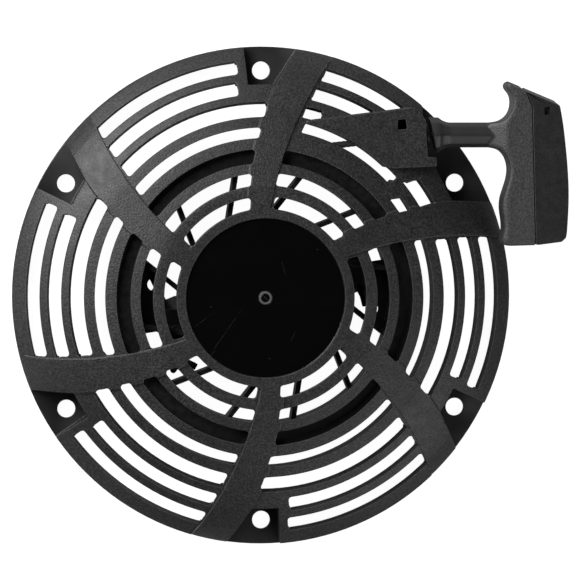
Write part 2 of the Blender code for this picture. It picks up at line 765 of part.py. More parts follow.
def build():
    for obj in list(bpy.data.objects):
        bpy.data.objects.remove(obj)
    parts = collection_named(PART_NAME)
    cutters = collection_named(f"{PART_NAME}_cutters", hidden=True)

    moulding = material_named("housing_plastic", (0.030, 0.030, 0.032), 0.55)
    reel_plastic = material_named("reel_plastic", (0.018, 0.018, 0.019), 0.5)
    grip_plastic = material_named("grip_plastic", (0.035, 0.035, 0.036), 0.6)
    cap_plastic = material_named("cap_plastic", (0.022, 0.022, 0.023), 0.45)
    rope_fibre = material_named("rope_fibre", (0.012, 0.012, 0.013), 0.85)
    steel = material_named("steel", (0.55, 0.55, 0.56), 0.35, 1.0)
    spring_steel = material_named("spring_steel", (0.30, 0.31, 0.33), 0.35, 1.0)
    brass = material_named("bushing_bronze", (0.60, 0.42, 0.20), 0.4, 1.0)

    finish(housing(parts, cutters), moulding)
    finish(rope_eyelet(parts), steel)
    finish(reel(parts, cutters), reel_plastic)
    finish(reel_bushing(parts), brass)
    finish(spring_case(parts), steel)
    finish(rewind_spring(parts), spring_steel)
    finish(rope_coil(parts, cutters), rope_fibre)
    finish(rope_run(parts), rope_fibre)
    finish(rope_handle_end(parts, cutters), rope_fibre)
    for side, letter in enumerate("ab"):
        finish(pawl(f"pawl_{letter}", side, parts, cutters), steel)
        finish(pawl_pin(f"pawl_pin_{letter}", side, parts), steel)
        finish(pawl_spring(f"pawl_spring_{letter}", side, parts), spring_steel)
    finish(pawl_guide(parts, cutters), steel)
    finish(friction_spring(parts), spring_steel)
    finish(thrust_washer(parts), steel)
    finish(center_screw(parts, cutters), steel)
    finish(grip(parts, cutters), grip_plastic)
    finish(grip_cap(parts, cutters), cap_plastic)
    finish(grip_washer(parts), steel)


build()
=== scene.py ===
"""Looks of the recoil starter: fine surfaces, materials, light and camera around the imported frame.

Sizes are in millimetres and degrees, in the frame's own axes: +Z along the reel's axis away from the engine,
+X the way that the handle is pulled. Angles are measured from +X about +Z.
"""

import math

import bmesh
import bpy
from mathutils import Matrix, Vector, noise
from mathutils.bvhtree import BVHTree

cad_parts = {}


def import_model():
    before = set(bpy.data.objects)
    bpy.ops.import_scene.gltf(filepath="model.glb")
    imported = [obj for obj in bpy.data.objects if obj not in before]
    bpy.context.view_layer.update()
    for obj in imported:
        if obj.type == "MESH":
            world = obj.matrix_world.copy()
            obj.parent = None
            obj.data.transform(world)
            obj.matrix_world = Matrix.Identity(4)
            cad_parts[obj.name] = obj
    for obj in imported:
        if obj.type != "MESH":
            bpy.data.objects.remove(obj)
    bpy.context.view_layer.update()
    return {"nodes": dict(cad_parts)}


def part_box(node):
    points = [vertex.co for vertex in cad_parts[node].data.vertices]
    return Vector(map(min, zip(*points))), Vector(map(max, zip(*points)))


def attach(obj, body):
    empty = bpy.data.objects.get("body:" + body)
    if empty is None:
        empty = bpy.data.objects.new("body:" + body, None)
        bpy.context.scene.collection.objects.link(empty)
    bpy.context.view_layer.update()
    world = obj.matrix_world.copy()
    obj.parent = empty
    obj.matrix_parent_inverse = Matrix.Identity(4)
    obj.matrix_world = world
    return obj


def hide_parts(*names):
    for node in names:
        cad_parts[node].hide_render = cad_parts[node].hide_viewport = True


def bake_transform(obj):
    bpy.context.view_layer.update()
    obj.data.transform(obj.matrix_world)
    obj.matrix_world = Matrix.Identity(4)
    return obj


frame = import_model()

MM = 0.001


def box_mm(node):
    low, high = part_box(node)
    return low / MM, high / MM


# Sizes taken from the frame.
GRIP_LOW, GRIP_HIGH = box_mm("grip")
CAP_LOW, CAP_HIGH = box_mm("grip_cap")
RIM_R = box_mm("housing")[1].x
HUB_TOP = box_mm("housing")[1].z
REEL_RIM = box_mm("reel")[1].x

# Housing.
RIM_WALL = 3.5
SHELL = 3.5
ARM_RISE = 1.2
HUB_R = 44.3
CAP_R = 39.5
CAP_TOP = HUB_TOP - 1.6
SHOULDER = (53.0, 35.0)
ARM_UNDERSIDE = 33.2
RIM_TOP = 7.8
# The moulding's gate leaves a low round lip in the middle of the centre disc.
GATE_MARK = (
    (2.1, CAP_TOP - 0.5), (2.15, CAP_TOP + 0.1), (2.5, CAP_TOP + 0.45), (2.9, CAP_TOP + 0.45),
    (3.25, CAP_TOP + 0.1), (3.3, CAP_TOP - 0.5),
)
# Radius and height of the dome's creases, which run inside the slots so that each rib has a flat top.
DOME = (
    (59.0, 34.3), (70.4, 32.0), (81.9, 29.3), (92.8, 26.4),
    (103.8, 22.0), (114.3, 16.5), (123.8, 9.2), (RIM_R, RIM_TOP),
)
BELOW = -1.0
ARM_TIP_R = RIM_R - 0.6
# Heights between which a cutter passes through the whole housing.
THROUGH = (-5.0, 50.0)
STEPS = 144
SECTOR = 60.0
FIRST_HOLE = 30.0
HOLES = [FIRST_HOLE + SECTOR * k for k in range(6)]
# Slots of one sector: inner radius, outer radius, start and end angle from the bolt hole.
SLOTS = (
    (111.6, 117.0, 6.3, 45.0), (101.0, 106.6, 7.0, 46.5), (89.8, 95.9, -0.7, 48.0), (79.3, 84.5, 1.5, 50.2),
    (67.0, 73.8, 4.4, 52.7), (55.9, 62.0, 6.7, 54.5), (HUB_R, 50.3, 8.9, 54.9),
)
# The outermost slots end at a pocket, and the innermost are all that the rope's sector has.
POCKET_SLOTS = 2
INNER_SLOTS = 3
ROPE_SLOTS = (
    (111.6, 117.0, 22.8, 44.5), (101.0, 106.6, 29.0, 46.0),
    (91.5, 95.9, 42.3, 47.7), (84.0, 89.0, 12.0, 47.0),
)
ROPE_WINDOWS = ((89.8, 95.9, -0.7, 8.35), (79.3, 84.5, 1.5, 6.75))
ROPE_WINDOW_LEAN = -0.40
SLOT_FILLET = 1.5
# Walls below the ribs: the slots' outer radius, how far the wall leans out on its way up, and its depth.
RIB_WALLS = ((117.0, 1.5, 8.0), (106.6, 1.5, 8.0), (95.9, 1.5, 8.0))
WALL_THICK = 1.6

# Spiral arms: each edge's angle at the hub and its change per millimetre of radius.
ARM_TRAIL = (-3.3, -0.170)
ARM_LEAD = (11.0, -0.2426)
ARM_START_R = 47.5
# The arms' own top near the rim, where they roll over towards the mounting face.
ARM_END = ((114.3, 18.2), (118.0, 15.0), (121.0, 11.9), (123.4, 8.6), (125.2, 5.2))

# Bolt pockets.
BOLT_R = 113.0
BOLT_HOLE_R = 4.5
POCKET_R = 106.0
POCKET_SIDE = 4.2
POCKET_WALL = 2.6
FLOOR = 3.5

# Skirt and post.
SKIRT_R = 85.0
SKIRT_WALL = 2.2
SKIRT_LOW = 4.0
SKIRT_TOP = 26.5
POST_R = 6.5
POST_LOW = 9.5
POST_TOP = 32.5
SCREW_R = 2.3
CLEARANCE = 0.3

# Rope, which is a little thinner where it is pulled tight in a knot.
ROPE_R = 1.75
KNOT_ROPE_R = ROPE_R - 0.15
WRAP_R = 71.0
LAYER = 3.8
PITCH = 3.85
WRAP_TOP = 23.2
ANCHOR_ANGLE = 214.0
ROPE_SLOPE = 6.6
AXIS_Y = 80.7
AXIS_Z = 22.5
OUTLET_X = 79.0

# Rope channel.
CHANNEL_TOP = 29.6
CHANNEL_WALL = 2.4
CHANNEL_INNER_R = 89.0

# Reel.
REEL_FLOOR_R = 64.4
REEL_INNER_R = 62.2
REEL_TOP = 26.4
REEL_FLANGE = 1.2
REEL_RING = (12.4, 28.4)
CUP_R = 43.0
CUP_WALL = 2.0
CUP_TOP = 30.4
WEB_LOW = 15.0
WEB = 2.0
BORE_R = 8.9
HUB_TUBE_R = 11.6
SPOKES = 12
SPOKE_ANGLE = 14.0
SPOKE_WIDTH = 2.5
PAWL_R = 47.0
PAWL_ANGLE = 203.0
PIN_R = 1.8
PIN_TOP = 17.0

# Handle.
STEM_R = 6.4
COLLAR_R = 9.0
COLLAR_X = GRIP_LOW.x
GRIP_X = 117.0


# ---- shapes


def metres(point):
    return Vector(point) * MM


def polar(radius, degrees, z=0.0):
    angle = math.radians(degrees)
    return (radius * math.cos(angle), radius * math.sin(angle), z)


def arc(radius, start, end, step=360.0 / STEPS):
    """Points along an arc, on whole steps from +X so that they meet the shell's own edges."""
    low, high = min(start, end), max(start, end)
    first = math.floor(low / step) + 1
    inner = [i * step for i in range(first, math.ceil(high / step)) if low + 0.3 < i * step < high - 0.3]
    angles = [low, *inner, high]
    if start > end:
        angles.reverse()
    return [polar(radius, a)[:2] for a in angles]


def sector(inner, outer, start, end, start_slope=0.0, end_slope=0.0, fillet=SLOT_FILLET):
    """Outline of a piece of a ring; its ends lean by degrees per millimetre and its corners are rounded."""
    middle = (inner + outer) / 2
    turn = math.degrees(fillet)

    def corner(radius, side, r_way, a_way):
        edge, slope = (end, end_slope) if side else (start, start_slope)
        centre_r = radius + r_way * fillet
        centre_a = edge + slope * (centre_r - middle) + a_way * turn / centre_r
        points = []
        for i in range(4):
            swing = math.radians(30.0 * i)
            r = centre_r - r_way * fillet * math.sin(swing)
            a = centre_a - a_way * turn / centre_r * math.cos(swing)
            points.append((r, a))
        return points

    outer_start = corner(outer, 0, -1.0, 1.0)
    outer_end = corner(outer, 1, -1.0, -1.0)[::-1]
    inner_end = corner(inner, 1, 1.0, -1.0)
    inner_start = corner(inner, 0, 1.0, 1.0)[::-1]
    outline = [polar(r, a)[:2] for r, a in outer_start]
    outline += arc(outer, outer_start[-1][1], outer_end[0][1])[1:-1]
    outline += [polar(r, a)[:2] for r, a in outer_end + inner_end]
    outline += arc(inner, inner_end[-1][1], inner_start[0][1])[1:-1]
    outline += [polar(r, a)[:2] for r, a in inner_start]
    return outline


def rounded(outline, radius, points=4):
    """A polygon with each corner replaced by an arc."""
    result = []
    count = len(outline)
    for i, here in enumerate(outline):
        corner = Vector(here)
        before = Vector(outline[i - 1]) - corner
        after = Vector(outline[(i + 1) % count]) - corner
        bend = before.angle(after)
        if bend > math.radians(168.0):
            result.append(tuple(corner))
            continue
        reach = min(radius / math.tan(bend / 2), 0.45 * before.length, 0.45 * after.length)
        first = corner + before.normalized() * reach
        last = corner + after.normalized() * reach
        for k in range(points + 1):
            t = k / points
            result.append(tuple(first * (1 - t) ** 2 + corner * 2 * t * (1 - t) + last * t**2))
    return result


def flowing(chain, per=5):
    """Points of a smooth curve through a chain of points."""
    points = [Vector(point) for point in chain]
    points = [points[0] * 2 - points[1], *points, points[-1] * 2 - points[-2]]
    result = []
    for a, b, c, d in zip(points, points[1:], points[2:], points[3:]):
        for i in range(per):
            t = i / per
            square = (2 * a - 5 * b + 4 * c - d) * t**2
            cube = (3 * b - a - 3 * c + d) * t**3
            result.append(tuple(0.5 * (2 * b + (c - a) * t + square + cube)))
    return [*result, chain[-1]]


def circle(radius, points, centre=(0.0, 0.0)):
    return [(centre[0] + radius * math.cos(a), centre[1] + radius * math.sin(a))
            for a in (2 * math.pi * i / points for i in range(points))]


def new_object(name, mesh):
    obj = bpy.data.objects.new(name, mesh)
    bpy.context.scene.collection.objects.link(obj)
    return obj


def evaluated(obj):
    """New mesh of an object as its modifiers leave it."""
    return bpy.data.meshes.new_from_object(obj.evaluated_get(bpy.context.evaluated_depsgraph_get()))


def settle(obj):
    """Give an object the mesh that its modifiers make."""
    mesh = evaluated(obj)
    obj.modifiers.clear()
    obj.data = mesh


def as_mesh(obj):
    """Replace an object by a plain mesh of its evaluated shape, with a curve's caps welded."""
    mesh = evaluated(obj)
    mesh.transform(obj.matrix_world)
    cage = bmesh.new()
    cage.from_mesh(mesh)
    bmesh.ops.remove_doubles(cage, verts=cage.verts, dist=0.001 * MM)
    bmesh.ops.recalc_face_normals(cage, faces=cage.faces)
    cage.to_mesh(mesh)
    cage.free()
    name = obj.name
    bpy.data.objects.remove(obj)
    return new_object(name, mesh)


def plate(name, outlines, low, high):
    """Flat solid between two heights; outlines inside others are holes."""
    curve = bpy.data.curves.new(name, "CURVE")
    curve.dimensions = "2D"
    curve.fill_mode = "BOTH"
    curve.extrude = (high - low) / 2 * MM
    for outline in outlines:
        spline = curve.splines.new("POLY")
        spline.points.add(len(outline) - 1)
        for point, (x, y) in zip(spline.points, outline):
            point.co = (x * MM, y * MM, 0.0, 1.0)
        spline.use_cyclic_u = True
    obj = new_object(name, curve)
    obj.location.z = (low + high) / 2 * MM
    bpy.context.view_layer.update()
    return as_mesh(obj)


def turned(name, profile, steps=STEPS, closed=True):
    """Solid of revolution about Z from (radius, height) points that run down the outer side."""
    mesh = bpy.data.meshes.new(name)
    last = len(profile) - 1
    edges = [(i, i + 1) for i in range(last)] + ([(last, 0)] if closed else [])
    mesh.from_pydata([(r * MM, 0.0, z * MM) for r, z in profile], edges, [])
    obj = new_object(name, mesh)
    screw = obj.modifiers.new("turn", "SCREW")
    screw.steps = steps
    screw.render_steps = steps
    screw.use_merge_vertices = True
    screw.merge_threshold = 0.00001
    return as_mesh(obj)


def ring(name, inner, outer, low, high, steps=48):
    return turned(name, ((inner, high), (outer, high), (outer, low), (inner, low)), steps)


def disc(name, radius, low, high, steps=48):
    return turned(name, ((0.0, high), (radius, high), (radius, low), (0.0, low)), steps, closed=False)


def moved(obj, position, turn=None):
    obj.data.transform(Matrix.Translation(metres(position)) @ (turn or Matrix.Identity(4)))
    return obj


def along_x(degrees=0.0):
    """Turn that lays a piece's Z axis along +X, then yaws it."""
    return Matrix.Rotation(math.radians(degrees), 4, "Z") @ Matrix.Rotation(math.radians(90), 4, "Y")


def combine(target, operation, *tools):
    """Boolean a list of tools into the target, one by one, and drop the tools."""
    for tool in tools:
        change = target.modifiers.new("combine", "BOOLEAN")
        change.operation = operation
        change.solver = "MANIFOLD"
        change.object = tool
        bpy.context.view_layer.update()
        settle(target)
        bpy.data.objects.remove(tool)
    return target


def cut(target, *tools):
    return combine(target, "DIFFERENCE", *tools)


def join(target, *tools):
    return combine(target, "UNION", *tools)


def clean(obj, flat=0.6):
    """Merge what Booleans split: doubled points and faces that lie in one plane."""
    cage = bmesh.new()
    cage.from_mesh(obj.data)
    bmesh.ops.remove_doubles(cage, verts=cage.verts, dist=0.03 * MM)
    bmesh.ops.dissolve_limit(cage, angle_limit=math.radians(flat), verts=cage.verts, edges=cage.edges)
    cage.to_mesh(obj.data)
    cage.free()
    return obj


def soften(obj, width, segments=2):
    """Round the sharp edges, and take back what this throws off the surface."""
    cage = bmesh.new()
    cage.from_mesh(obj.data)
    surface = BVHTree.FromBMesh(cage)
    cage.free()
    bevel = obj.modifiers.new("edges", "BEVEL")
    bevel.width = width * MM
    bevel.segments = segments
    bevel.limit_method = "ANGLE"
    bevel.angle_limit = math.radians(30.0)
    bevel.use_clamp_overlap = False
    bevel.loop_slide = False
    result = as_mesh(obj)
    reach = 0.6 * width * MM
    cage = bmesh.new()
    cage.from_mesh(result.data)
    for vertex in cage.verts:
        place, _, _, distance = surface.find_nearest(vertex.co)
        if distance > reach:
            vertex.co = place
    small = [face for face in cage.faces if len(face.verts) < 5]
    slivers = [face for face in small if surface.find_nearest(face.calc_center_median())[3] > reach]
    bmesh.ops.delete(cage, geom=slivers, context="FACES")
    cage.to_mesh(result.data)
    cage.free()
    return result


def melted(obj, grid, rounds):
    """Remesh finely and smooth, which rounds edges and fills inner corners like a soft moulding."""
    remesh = obj.modifiers.new("remesh", "REMESH")
    remesh.mode = "VOXEL"
    remesh.voxel_size = grid * MM
    relax = obj.modifiers.new("relax", "SMOOTH")
    relax.factor = 0.5
    relax.iterations = rounds
    return as_mesh(obj)


def smooth(obj, sharp=40.0):
    obj.data.shade_smooth()
    obj.data.set_sharp_from_angle(angle=math.radians(sharp))
    return obj


def flat_faced(obj):
    """Smooth shading in which large faces stay flat and only the rounded edges turn."""
    smooth(obj)
    weighted = obj.modifiers.new("weighted", "WEIGHTED_NORMAL")
    weighted.weight = 100
    weighted.keep_sharp = True
    settle(obj)
    return obj


def hand_over(obj, node, body):
    """Hide the frame's node that a finished piece replaces, and attach the piece to the body it moves with.
    """
    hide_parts(node)
    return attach(obj, body)


# ---- housing


def dome_height(radius):
    """Height of the ribs' top at a radius."""
    stations = ((0.0, SHOULDER[1]), SHOULDER, *DOME)
    for (r0, z0), (r1, z1) in zip(stations, stations[1:]):
        if radius <= r1:
            return z0 + (z1 - z0) * (radius - r0) / (r1 - r0)
    return DOME[-1][1]


def arm_edge(edge, radius):
    return edge[0] + edge[1] * (radius - ARM_START_R)


def arm_outline(hole):
    radii = [42.0 + 5.0 * i for i in range(18)]
    lead = [polar(r, hole + arm_edge(ARM_LEAD, r))[:2] for r in radii]
    trail = [polar(r, hole + arm_edge(ARM_TRAIL, r))[:2] for r in radii]
    return lead + trail[::-1]


def arm_prisms():
    return plate("arm_prisms", [arm_outline(h) for h in HOLES], *THROUGH)


def pocket_outline(hole, inner, outer, wall, fillet=0.0):
    """Trapezoid beside an arm; wall widens it on its three closed sides."""
    swell = math.degrees(wall / BOLT_R)
    inner_lead = hole + arm_edge(ARM_LEAD, inner) - swell
    outer_lead = hole + arm_edge(ARM_LEAD, outer) - swell
    side = hole + POCKET_SIDE + swell
    outline = [polar(outer, outer_lead)[:2], polar(outer, side)[:2], *arc(inner, side, inner_lead)]
    return rounded(outline, fillet) if fillet else outline


def outlet_pocket_outline(inner, outer, wall, fillet=0.0):
    """The first hole's pocket also clears the handle's collar, up to the channel's end wall."""
    swell = math.degrees(wall / BOLT_R)
    hole = FIRST_HOLE
    outer_lead = polar(outer, hole + arm_edge(ARM_LEAD, outer) - swell)[:2]
    inner_lead = polar(inner, hole + arm_edge(ARM_LEAD, inner) - swell)[:2]
    outline = [
        outer_lead, polar(outer, 40.0)[:2], (80.8 - wall, 102.0), (80.8 - wall, 69.4),
        (86.0 - wall, 68.8), (86.0 - wall, 64.8), inner_lead,
    ]
    return rounded(outline, fillet) if fillet else outline


def channel_outline(wall):
    """Plan of the rope channel, inset by a wall."""
    inner = CHANNEL_INNER_R + wall
    return [
        *arc(inner, 46.5 + wall / 2, 76.0 - wall),
        (21.0 + 3 * wall, 87.8 - wall * 0.6),
        (73.8 - wall * 0.6, 94.4 - wall * 1.2),
        (76.4 - wall, 93.2 - wall * 1.4),
        (80.4 - wall, 88.4 - wall),
        (81.4 - wall, 70.0 + wall),
        (85.8 - wall, 69.4),
        (86.0 - wall, 65.2 + wall),
        (65.6 + wall, 64.4 + wall),
    ]


def rope_tangent_point():
    return Vector(polar(WRAP_R, 90.0 + ROPE_SLOPE, WRAP_TOP))


def rope_point(x):
    """Point of the straight rope at an x, sloping from the reel's top strand to the outlet."""
    start = rope_tangent_point()
    reach = (x - start.x) / (OUTLET_X - start.x)
    y = start.y + (x - start.x) * math.tan(math.radians(ROPE_SLOPE))
    return (x, y, start.z + (AXIS_Z - start.z) * reach)


def rib_wall(outer, lean, depth):
    """Ring wall that hangs below a slot's outer edge, wide enough for the slot cutter to shape its face."""
    low = dome_height(outer) - depth
    near, far = outer - 0.6, outer + lean + WALL_THICK
    profile = (
        (near, dome_height(near) - 1.0), (far, dome_height(far) - 1.0),
        (outer + WALL_THICK, low + WALL_THICK), (near, low),
    )
    return turned("rib_wall", profile)


def leaning_cutter():
    """The slots' prisms, with their outer walls leaning out towards the top."""
    cutter = plate("slot_cutter", slot_outlines(), *THROUGH)
    for vertex in cutter.data.vertices:
        radius = vertex.co.xy.length / MM
        for outer, lean, depth in RIB_WALLS:
            if outer - SLOT_FILLET - 0.2 < radius < outer + 0.1:
                low = dome_height(outer) - depth
                share = (radius - outer + SLOT_FILLET + 0.2) / (SLOT_FILLET + 0.2)
                shift = lean / depth * (vertex.co.z / MM - low) * min(1.0, share)
                vertex.co.xy *= (radius + shift) / radius
    return cutter


def slot_outlines():
    outlines = []
    for k, hole in enumerate(HOLES):
        for i, (inner, outer, start, end) in enumerate(SLOTS):
            if k == 0 and i < len(SLOTS) - INNER_SLOTS:
                continue
            lean = 0.0 if i < POCKET_SLOTS else ARM_LEAD[1]
            outlines.append(sector(inner, outer, hole + start, hole + end, lean, ARM_TRAIL[1]))
    for inner, outer, start, end in ROPE_SLOTS:
        outlines.append(sector(inner, outer, FIRST_HOLE + start, FIRST_HOLE + end, 0.0, ARM_TRAIL[1], 0.6))
    for inner, outer, start, end in ROPE_WINDOWS:
        angles = (FIRST_HOLE + start, FIRST_HOLE + end)
        outlines.append(sector(inner, outer, *angles, ARM_LEAD[1], ROPE_WINDOW_LEAN, 0.4))
    return outlines


def domed_shell():
    """The thin dome with its rim wall and the recessed centre disc."""
    top = [(0.0, CAP_TOP), (CAP_R + 1.5, CAP_TOP), (CAP_R + 2.0, SHOULDER[1]), SHOULDER, *DOME]
    rim_inner = RIM_R - RIM_WALL
    under = [(RIM_R, BELOW), (rim_inner, BELOW), (rim_inner, dome_height(rim_inner) - SHELL)]
    under += [(r, z - SHELL) for r, z in DOME[-3::-1]]
    under += [(SHOULDER[0], SHOULDER[1] - SHELL), (0.0, SHOULDER[1] - SHELL)]
    return turned("housing_body", top + under, closed=False)


def arms():
    """The raised arms and hub collar: a domed skin, kept only above their plan."""
    crest = [(SHOULDER[0], HUB_TOP), *[(r, z + ARM_RISE) for r, z in DOME[:-1]]]
    crest.append((ARM_TIP_R, RIM_TOP + ARM_RISE))
    raised = [(CAP_R, ARM_UNDERSIDE), (CAP_R + 0.2, HUB_TOP), *flowing(crest, 4), (ARM_TIP_R, 6.0)]
    raised += [(r, z - 1.8) for r, z in DOME[-2::-1]] + [(SHOULDER[0], ARM_UNDERSIDE)]
    prisms = join(disc("hub_prism", HUB_R + 0.6, *THROUGH, STEPS), arm_prisms())
    return combine(turned("arms", raised), "INTERSECT", prisms)


def pocket_blocks():
    """Material round each bolt hole, from the mounting face to just under the dome."""
    envelope = [(0.0, SHOULDER[1] - 0.8), (SHOULDER[0], SHOULDER[1] - 0.8)]
    envelope += [(r, z - 0.8) for r, z in DOME[:-2]]
    envelope += [(ARM_TIP_R, 7.0), (ARM_TIP_R, 2 * BELOW), (0.0, 2 * BELOW)]
    inner, outer = POCKET_R - POCKET_WALL, 130.0
    outlines = [pocket_outline(h, inner, outer, POCKET_WALL) for h in HOLES[1:]]
    outlines.append(outlet_pocket_outline(inner, outer, POCKET_WALL))
    blocks = turned("pocket_blocks", envelope, closed=False)
    return combine(blocks, "INTERSECT", plate("block_prisms", outlines, *THROUGH))


def arm_end_cutter():
    """What the arms lose where they roll over towards the mounting face."""
    above = [(ARM_END[0][0], 60.0), (130.0, 60.0), (130.0, 3.6)]
    return combine(turned("arm_ends", above + flowing(ARM_END[::-1], 3)), "INTERSECT", arm_prisms())


def pocket_cutter():
    outer = 132.0
    outlines = [pocket_outline(h, POCKET_R, outer, 0.0, 0.9) for h in HOLES[1:]]
    outlines.append(outlet_pocket_outline(POCKET_R, outer, 0.0, 0.6))
    return plate("pocket_cutter", outlines, FLOOR, THROUGH[1])


def add_channel(shell):
    """The rope channel: a closed block, hollow above and below a web, with the rope's way through it."""
    join(shell, plate("channel", [rounded(channel_outline(0.0), 0.8)], 2.0, CHANNEL_TOP))
    cut(shell, plate("channel_hollow", [channel_outline(CHANNEL_WALL)], 12.0, CHANNEL_TOP - 2.2))
    cut(shell, plate("channel_underside", [channel_outline(CHANNEL_WALL)], -2.0, 10.0))
    cut(shell, moved(disc("rope_way", 3.4, 0.0, 62.0), rope_point(24.0), along_x(ROPE_SLOPE)))
    cut(shell, moved(disc("outlet", 4.6, -6.0, 8.0), rope_point(OUTLET_X), along_x(ROPE_SLOPE)))
    window = [(66.4, 83.4), (71.0, 83.8), (70.4, 88.6), (66.6, 88.4)]
    cut(shell, plate("channel_window", [rounded(window, 0.7)], 20.0, 40.0))


def housing():
    shell = domed_shell()
    join(shell, ring("skirt", SKIRT_R, SKIRT_R + SKIRT_WALL, SKIRT_LOW, SKIRT_TOP, STEPS))
    join(shell, arms())
    join(shell, pocket_blocks())
    cut(shell, arm_end_cutter())
    join(shell, *[rib_wall(*wall) for wall in RIB_WALLS])
    cut(shell, leaning_cutter())
    cut(shell, pocket_cutter())
    add_channel(shell)
    bolts = [circle(BOLT_HOLE_R, 40, polar(BOLT_R, h)) for h in HOLES]
    cut(shell, plate("bolt_cutter", bolts, *THROUGH))
    cut(shell, disc("below_mounting_face", RIM_R + 10.0, -20.0, 0.0, 12))
    join(shell, ring("post", SCREW_R + CLEARANCE, POST_R, POST_LOW, POST_TOP))
    join(shell, turned("gate_mark", GATE_MARK, 48), disc("gate_pip", 0.6, CAP_TOP - 0.5, CAP_TOP + 0.25, 24))

    clean(shell)
    shell = flat_faced(soften(shell, 0.4))
    return hand_over(shell, "housing", "housing")


# ---- reel


def pawl_pivot(side):
    return Vector(polar(PAWL_R, PAWL_ANGLE + 180.0 * side))


def anchor_height():
    return wrap_point(wound_degrees())[2]


def wound_degrees():
    """Rope wound on the reel, from the tangent point back to the anchor hole."""
    return ANCHOR_ANGLE - (90.0 + ROPE_SLOPE) + 3 * 360.0


def wrap_point(turned_by):
    """Centre of the rope after winding an angle: two turns down the outer layer, then up the inner one."""
    down = 720.0
    angle = 90.0 + ROPE_SLOPE + turned_by
    if turned_by <= down:
        step_in = max(0.0, turned_by - (down - 80.0)) / 80.0
        return polar(WRAP_R - LAYER * step_in, angle, WRAP_TOP - PITCH * turned_by / 360.0)
    return polar(WRAP_R - LAYER, angle, WRAP_TOP - 2 * PITCH + PITCH * (turned_by - down) / 360.0)


def reel():
    cup_inner = CUP_R - CUP_WALL
    core = ((cup_inner, CUP_TOP), (CUP_R, CUP_TOP), (CUP_R, WEB_LOW), (HUB_TUBE_R, WEB_LOW),
            (HUB_TUBE_R, 9.8), (BORE_R, 9.8), (BORE_R, 30.8), (HUB_TUBE_R, 30.8),
            (HUB_TUBE_R, WEB_LOW + WEB), (cup_inner, WEB_LOW + WEB))
    body = turned("reel_body", core)
    low, high = REEL_RING
    rim = ((REEL_INNER_R, high), (REEL_FLOOR_R, high), (REEL_FLOOR_R, REEL_TOP),
           (REEL_RIM, REEL_TOP), (REEL_RIM, REEL_TOP - REEL_FLANGE), (REEL_FLOOR_R, REEL_TOP - REEL_FLANGE),
           (REEL_FLOOR_R, low + REEL_FLANGE), (REEL_RIM, low + REEL_FLANGE), (REEL_RIM, low),
           (REEL_INNER_R, low))

    spokes = []
    for k in range(SPOKES):
        inner = Vector(polar(CUP_R - 0.8, SPOKE_ANGLE + 11.0 + 30.0 * k))
        outer = Vector(polar(REEL_INNER_R + 1.0, SPOKE_ANGLE - 1.0 + 30.0 * k))
        across = (outer - inner).normalized().cross(Vector((0.0, 0.0, 1.0))) * (SPOKE_WIDTH / 2)
        spokes.append([tuple(c.xy) for c in (inner - across, outer - across, outer + across, inner + across)])
    webs = plate("spokes", spokes, WEB_LOW, 28.0)

    outlines = []
    for side in range(2):
        turn = 180.0 * side
        near, far = CUP_R - 0.8, REEL_INNER_R + 0.9
        corners = ((near, 209), (near, 189), (50.3, 187), (56.0, 165), (far, 165), (far, 181), (far, 197),
                   (56.0, 198), (50.3, 208))
        outlines.append(rounded([polar(r, a + turn)[:2] for r, a in corners], 1.5))
        outlines.append(circle(3.2, 32, polar(55.0, 173.5 + turn)))
    pads = plate("pawl_pads", outlines, WEB_LOW - 0.2, WEB_LOW + WEB + 0.3)
    rounds = [circle(4.2, 32, pawl_pivot(side)) for side in range(2)]
    bosses = plate("pin_bosses", rounds, WEB_LOW - 0.1, 19.0)
    join(body, turned("reel_rim", rim), webs, pads, bosses)
    pins = [circle(PIN_R + CLEARANCE, 24, pawl_pivot(side)) for side in range(2)]
    cut(body, plate("pin_holes", pins, 10.0, PIN_TOP + CLEARANCE))
    leg = disc("anchor_hole", ROPE_R + 1.4, -5.0, 5.0, 24)
    place = polar(REEL_FLOOR_R - 1.0, ANCHOR_ANGLE - 1.0, anchor_height())
    cut(body, moved(leg, place, along_x(ANCHOR_ANGLE)))

    clean(body)
    body = flat_faced(soften(body, 0.25))
    return hand_over(body, "reel", "reel")


# ---- rope


BRAID_LAY = 4.6
BRAID_STRANDS = 4
BRAID_RELIEF = 0.13


def spaced(path, step):
    """The path resampled at even steps."""
    points = [Vector(p) for p in path]
    lengths = [0.0]
    for a, b in zip(points, points[1:]):
        lengths.append(lengths[-1] + (b - a).length)
    count = max(2, round(lengths[-1] / step))
    result, i = [], 0
    for k in range(count + 1):
        at = lengths[-1] * k / count
        while i < len(points) - 2 and lengths[i + 1] < at:
            i += 1
        share = (at - lengths[i]) / (lengths[i + 1] - lengths[i])
        result.append(points[i].lerp(points[i + 1], share))
    return result


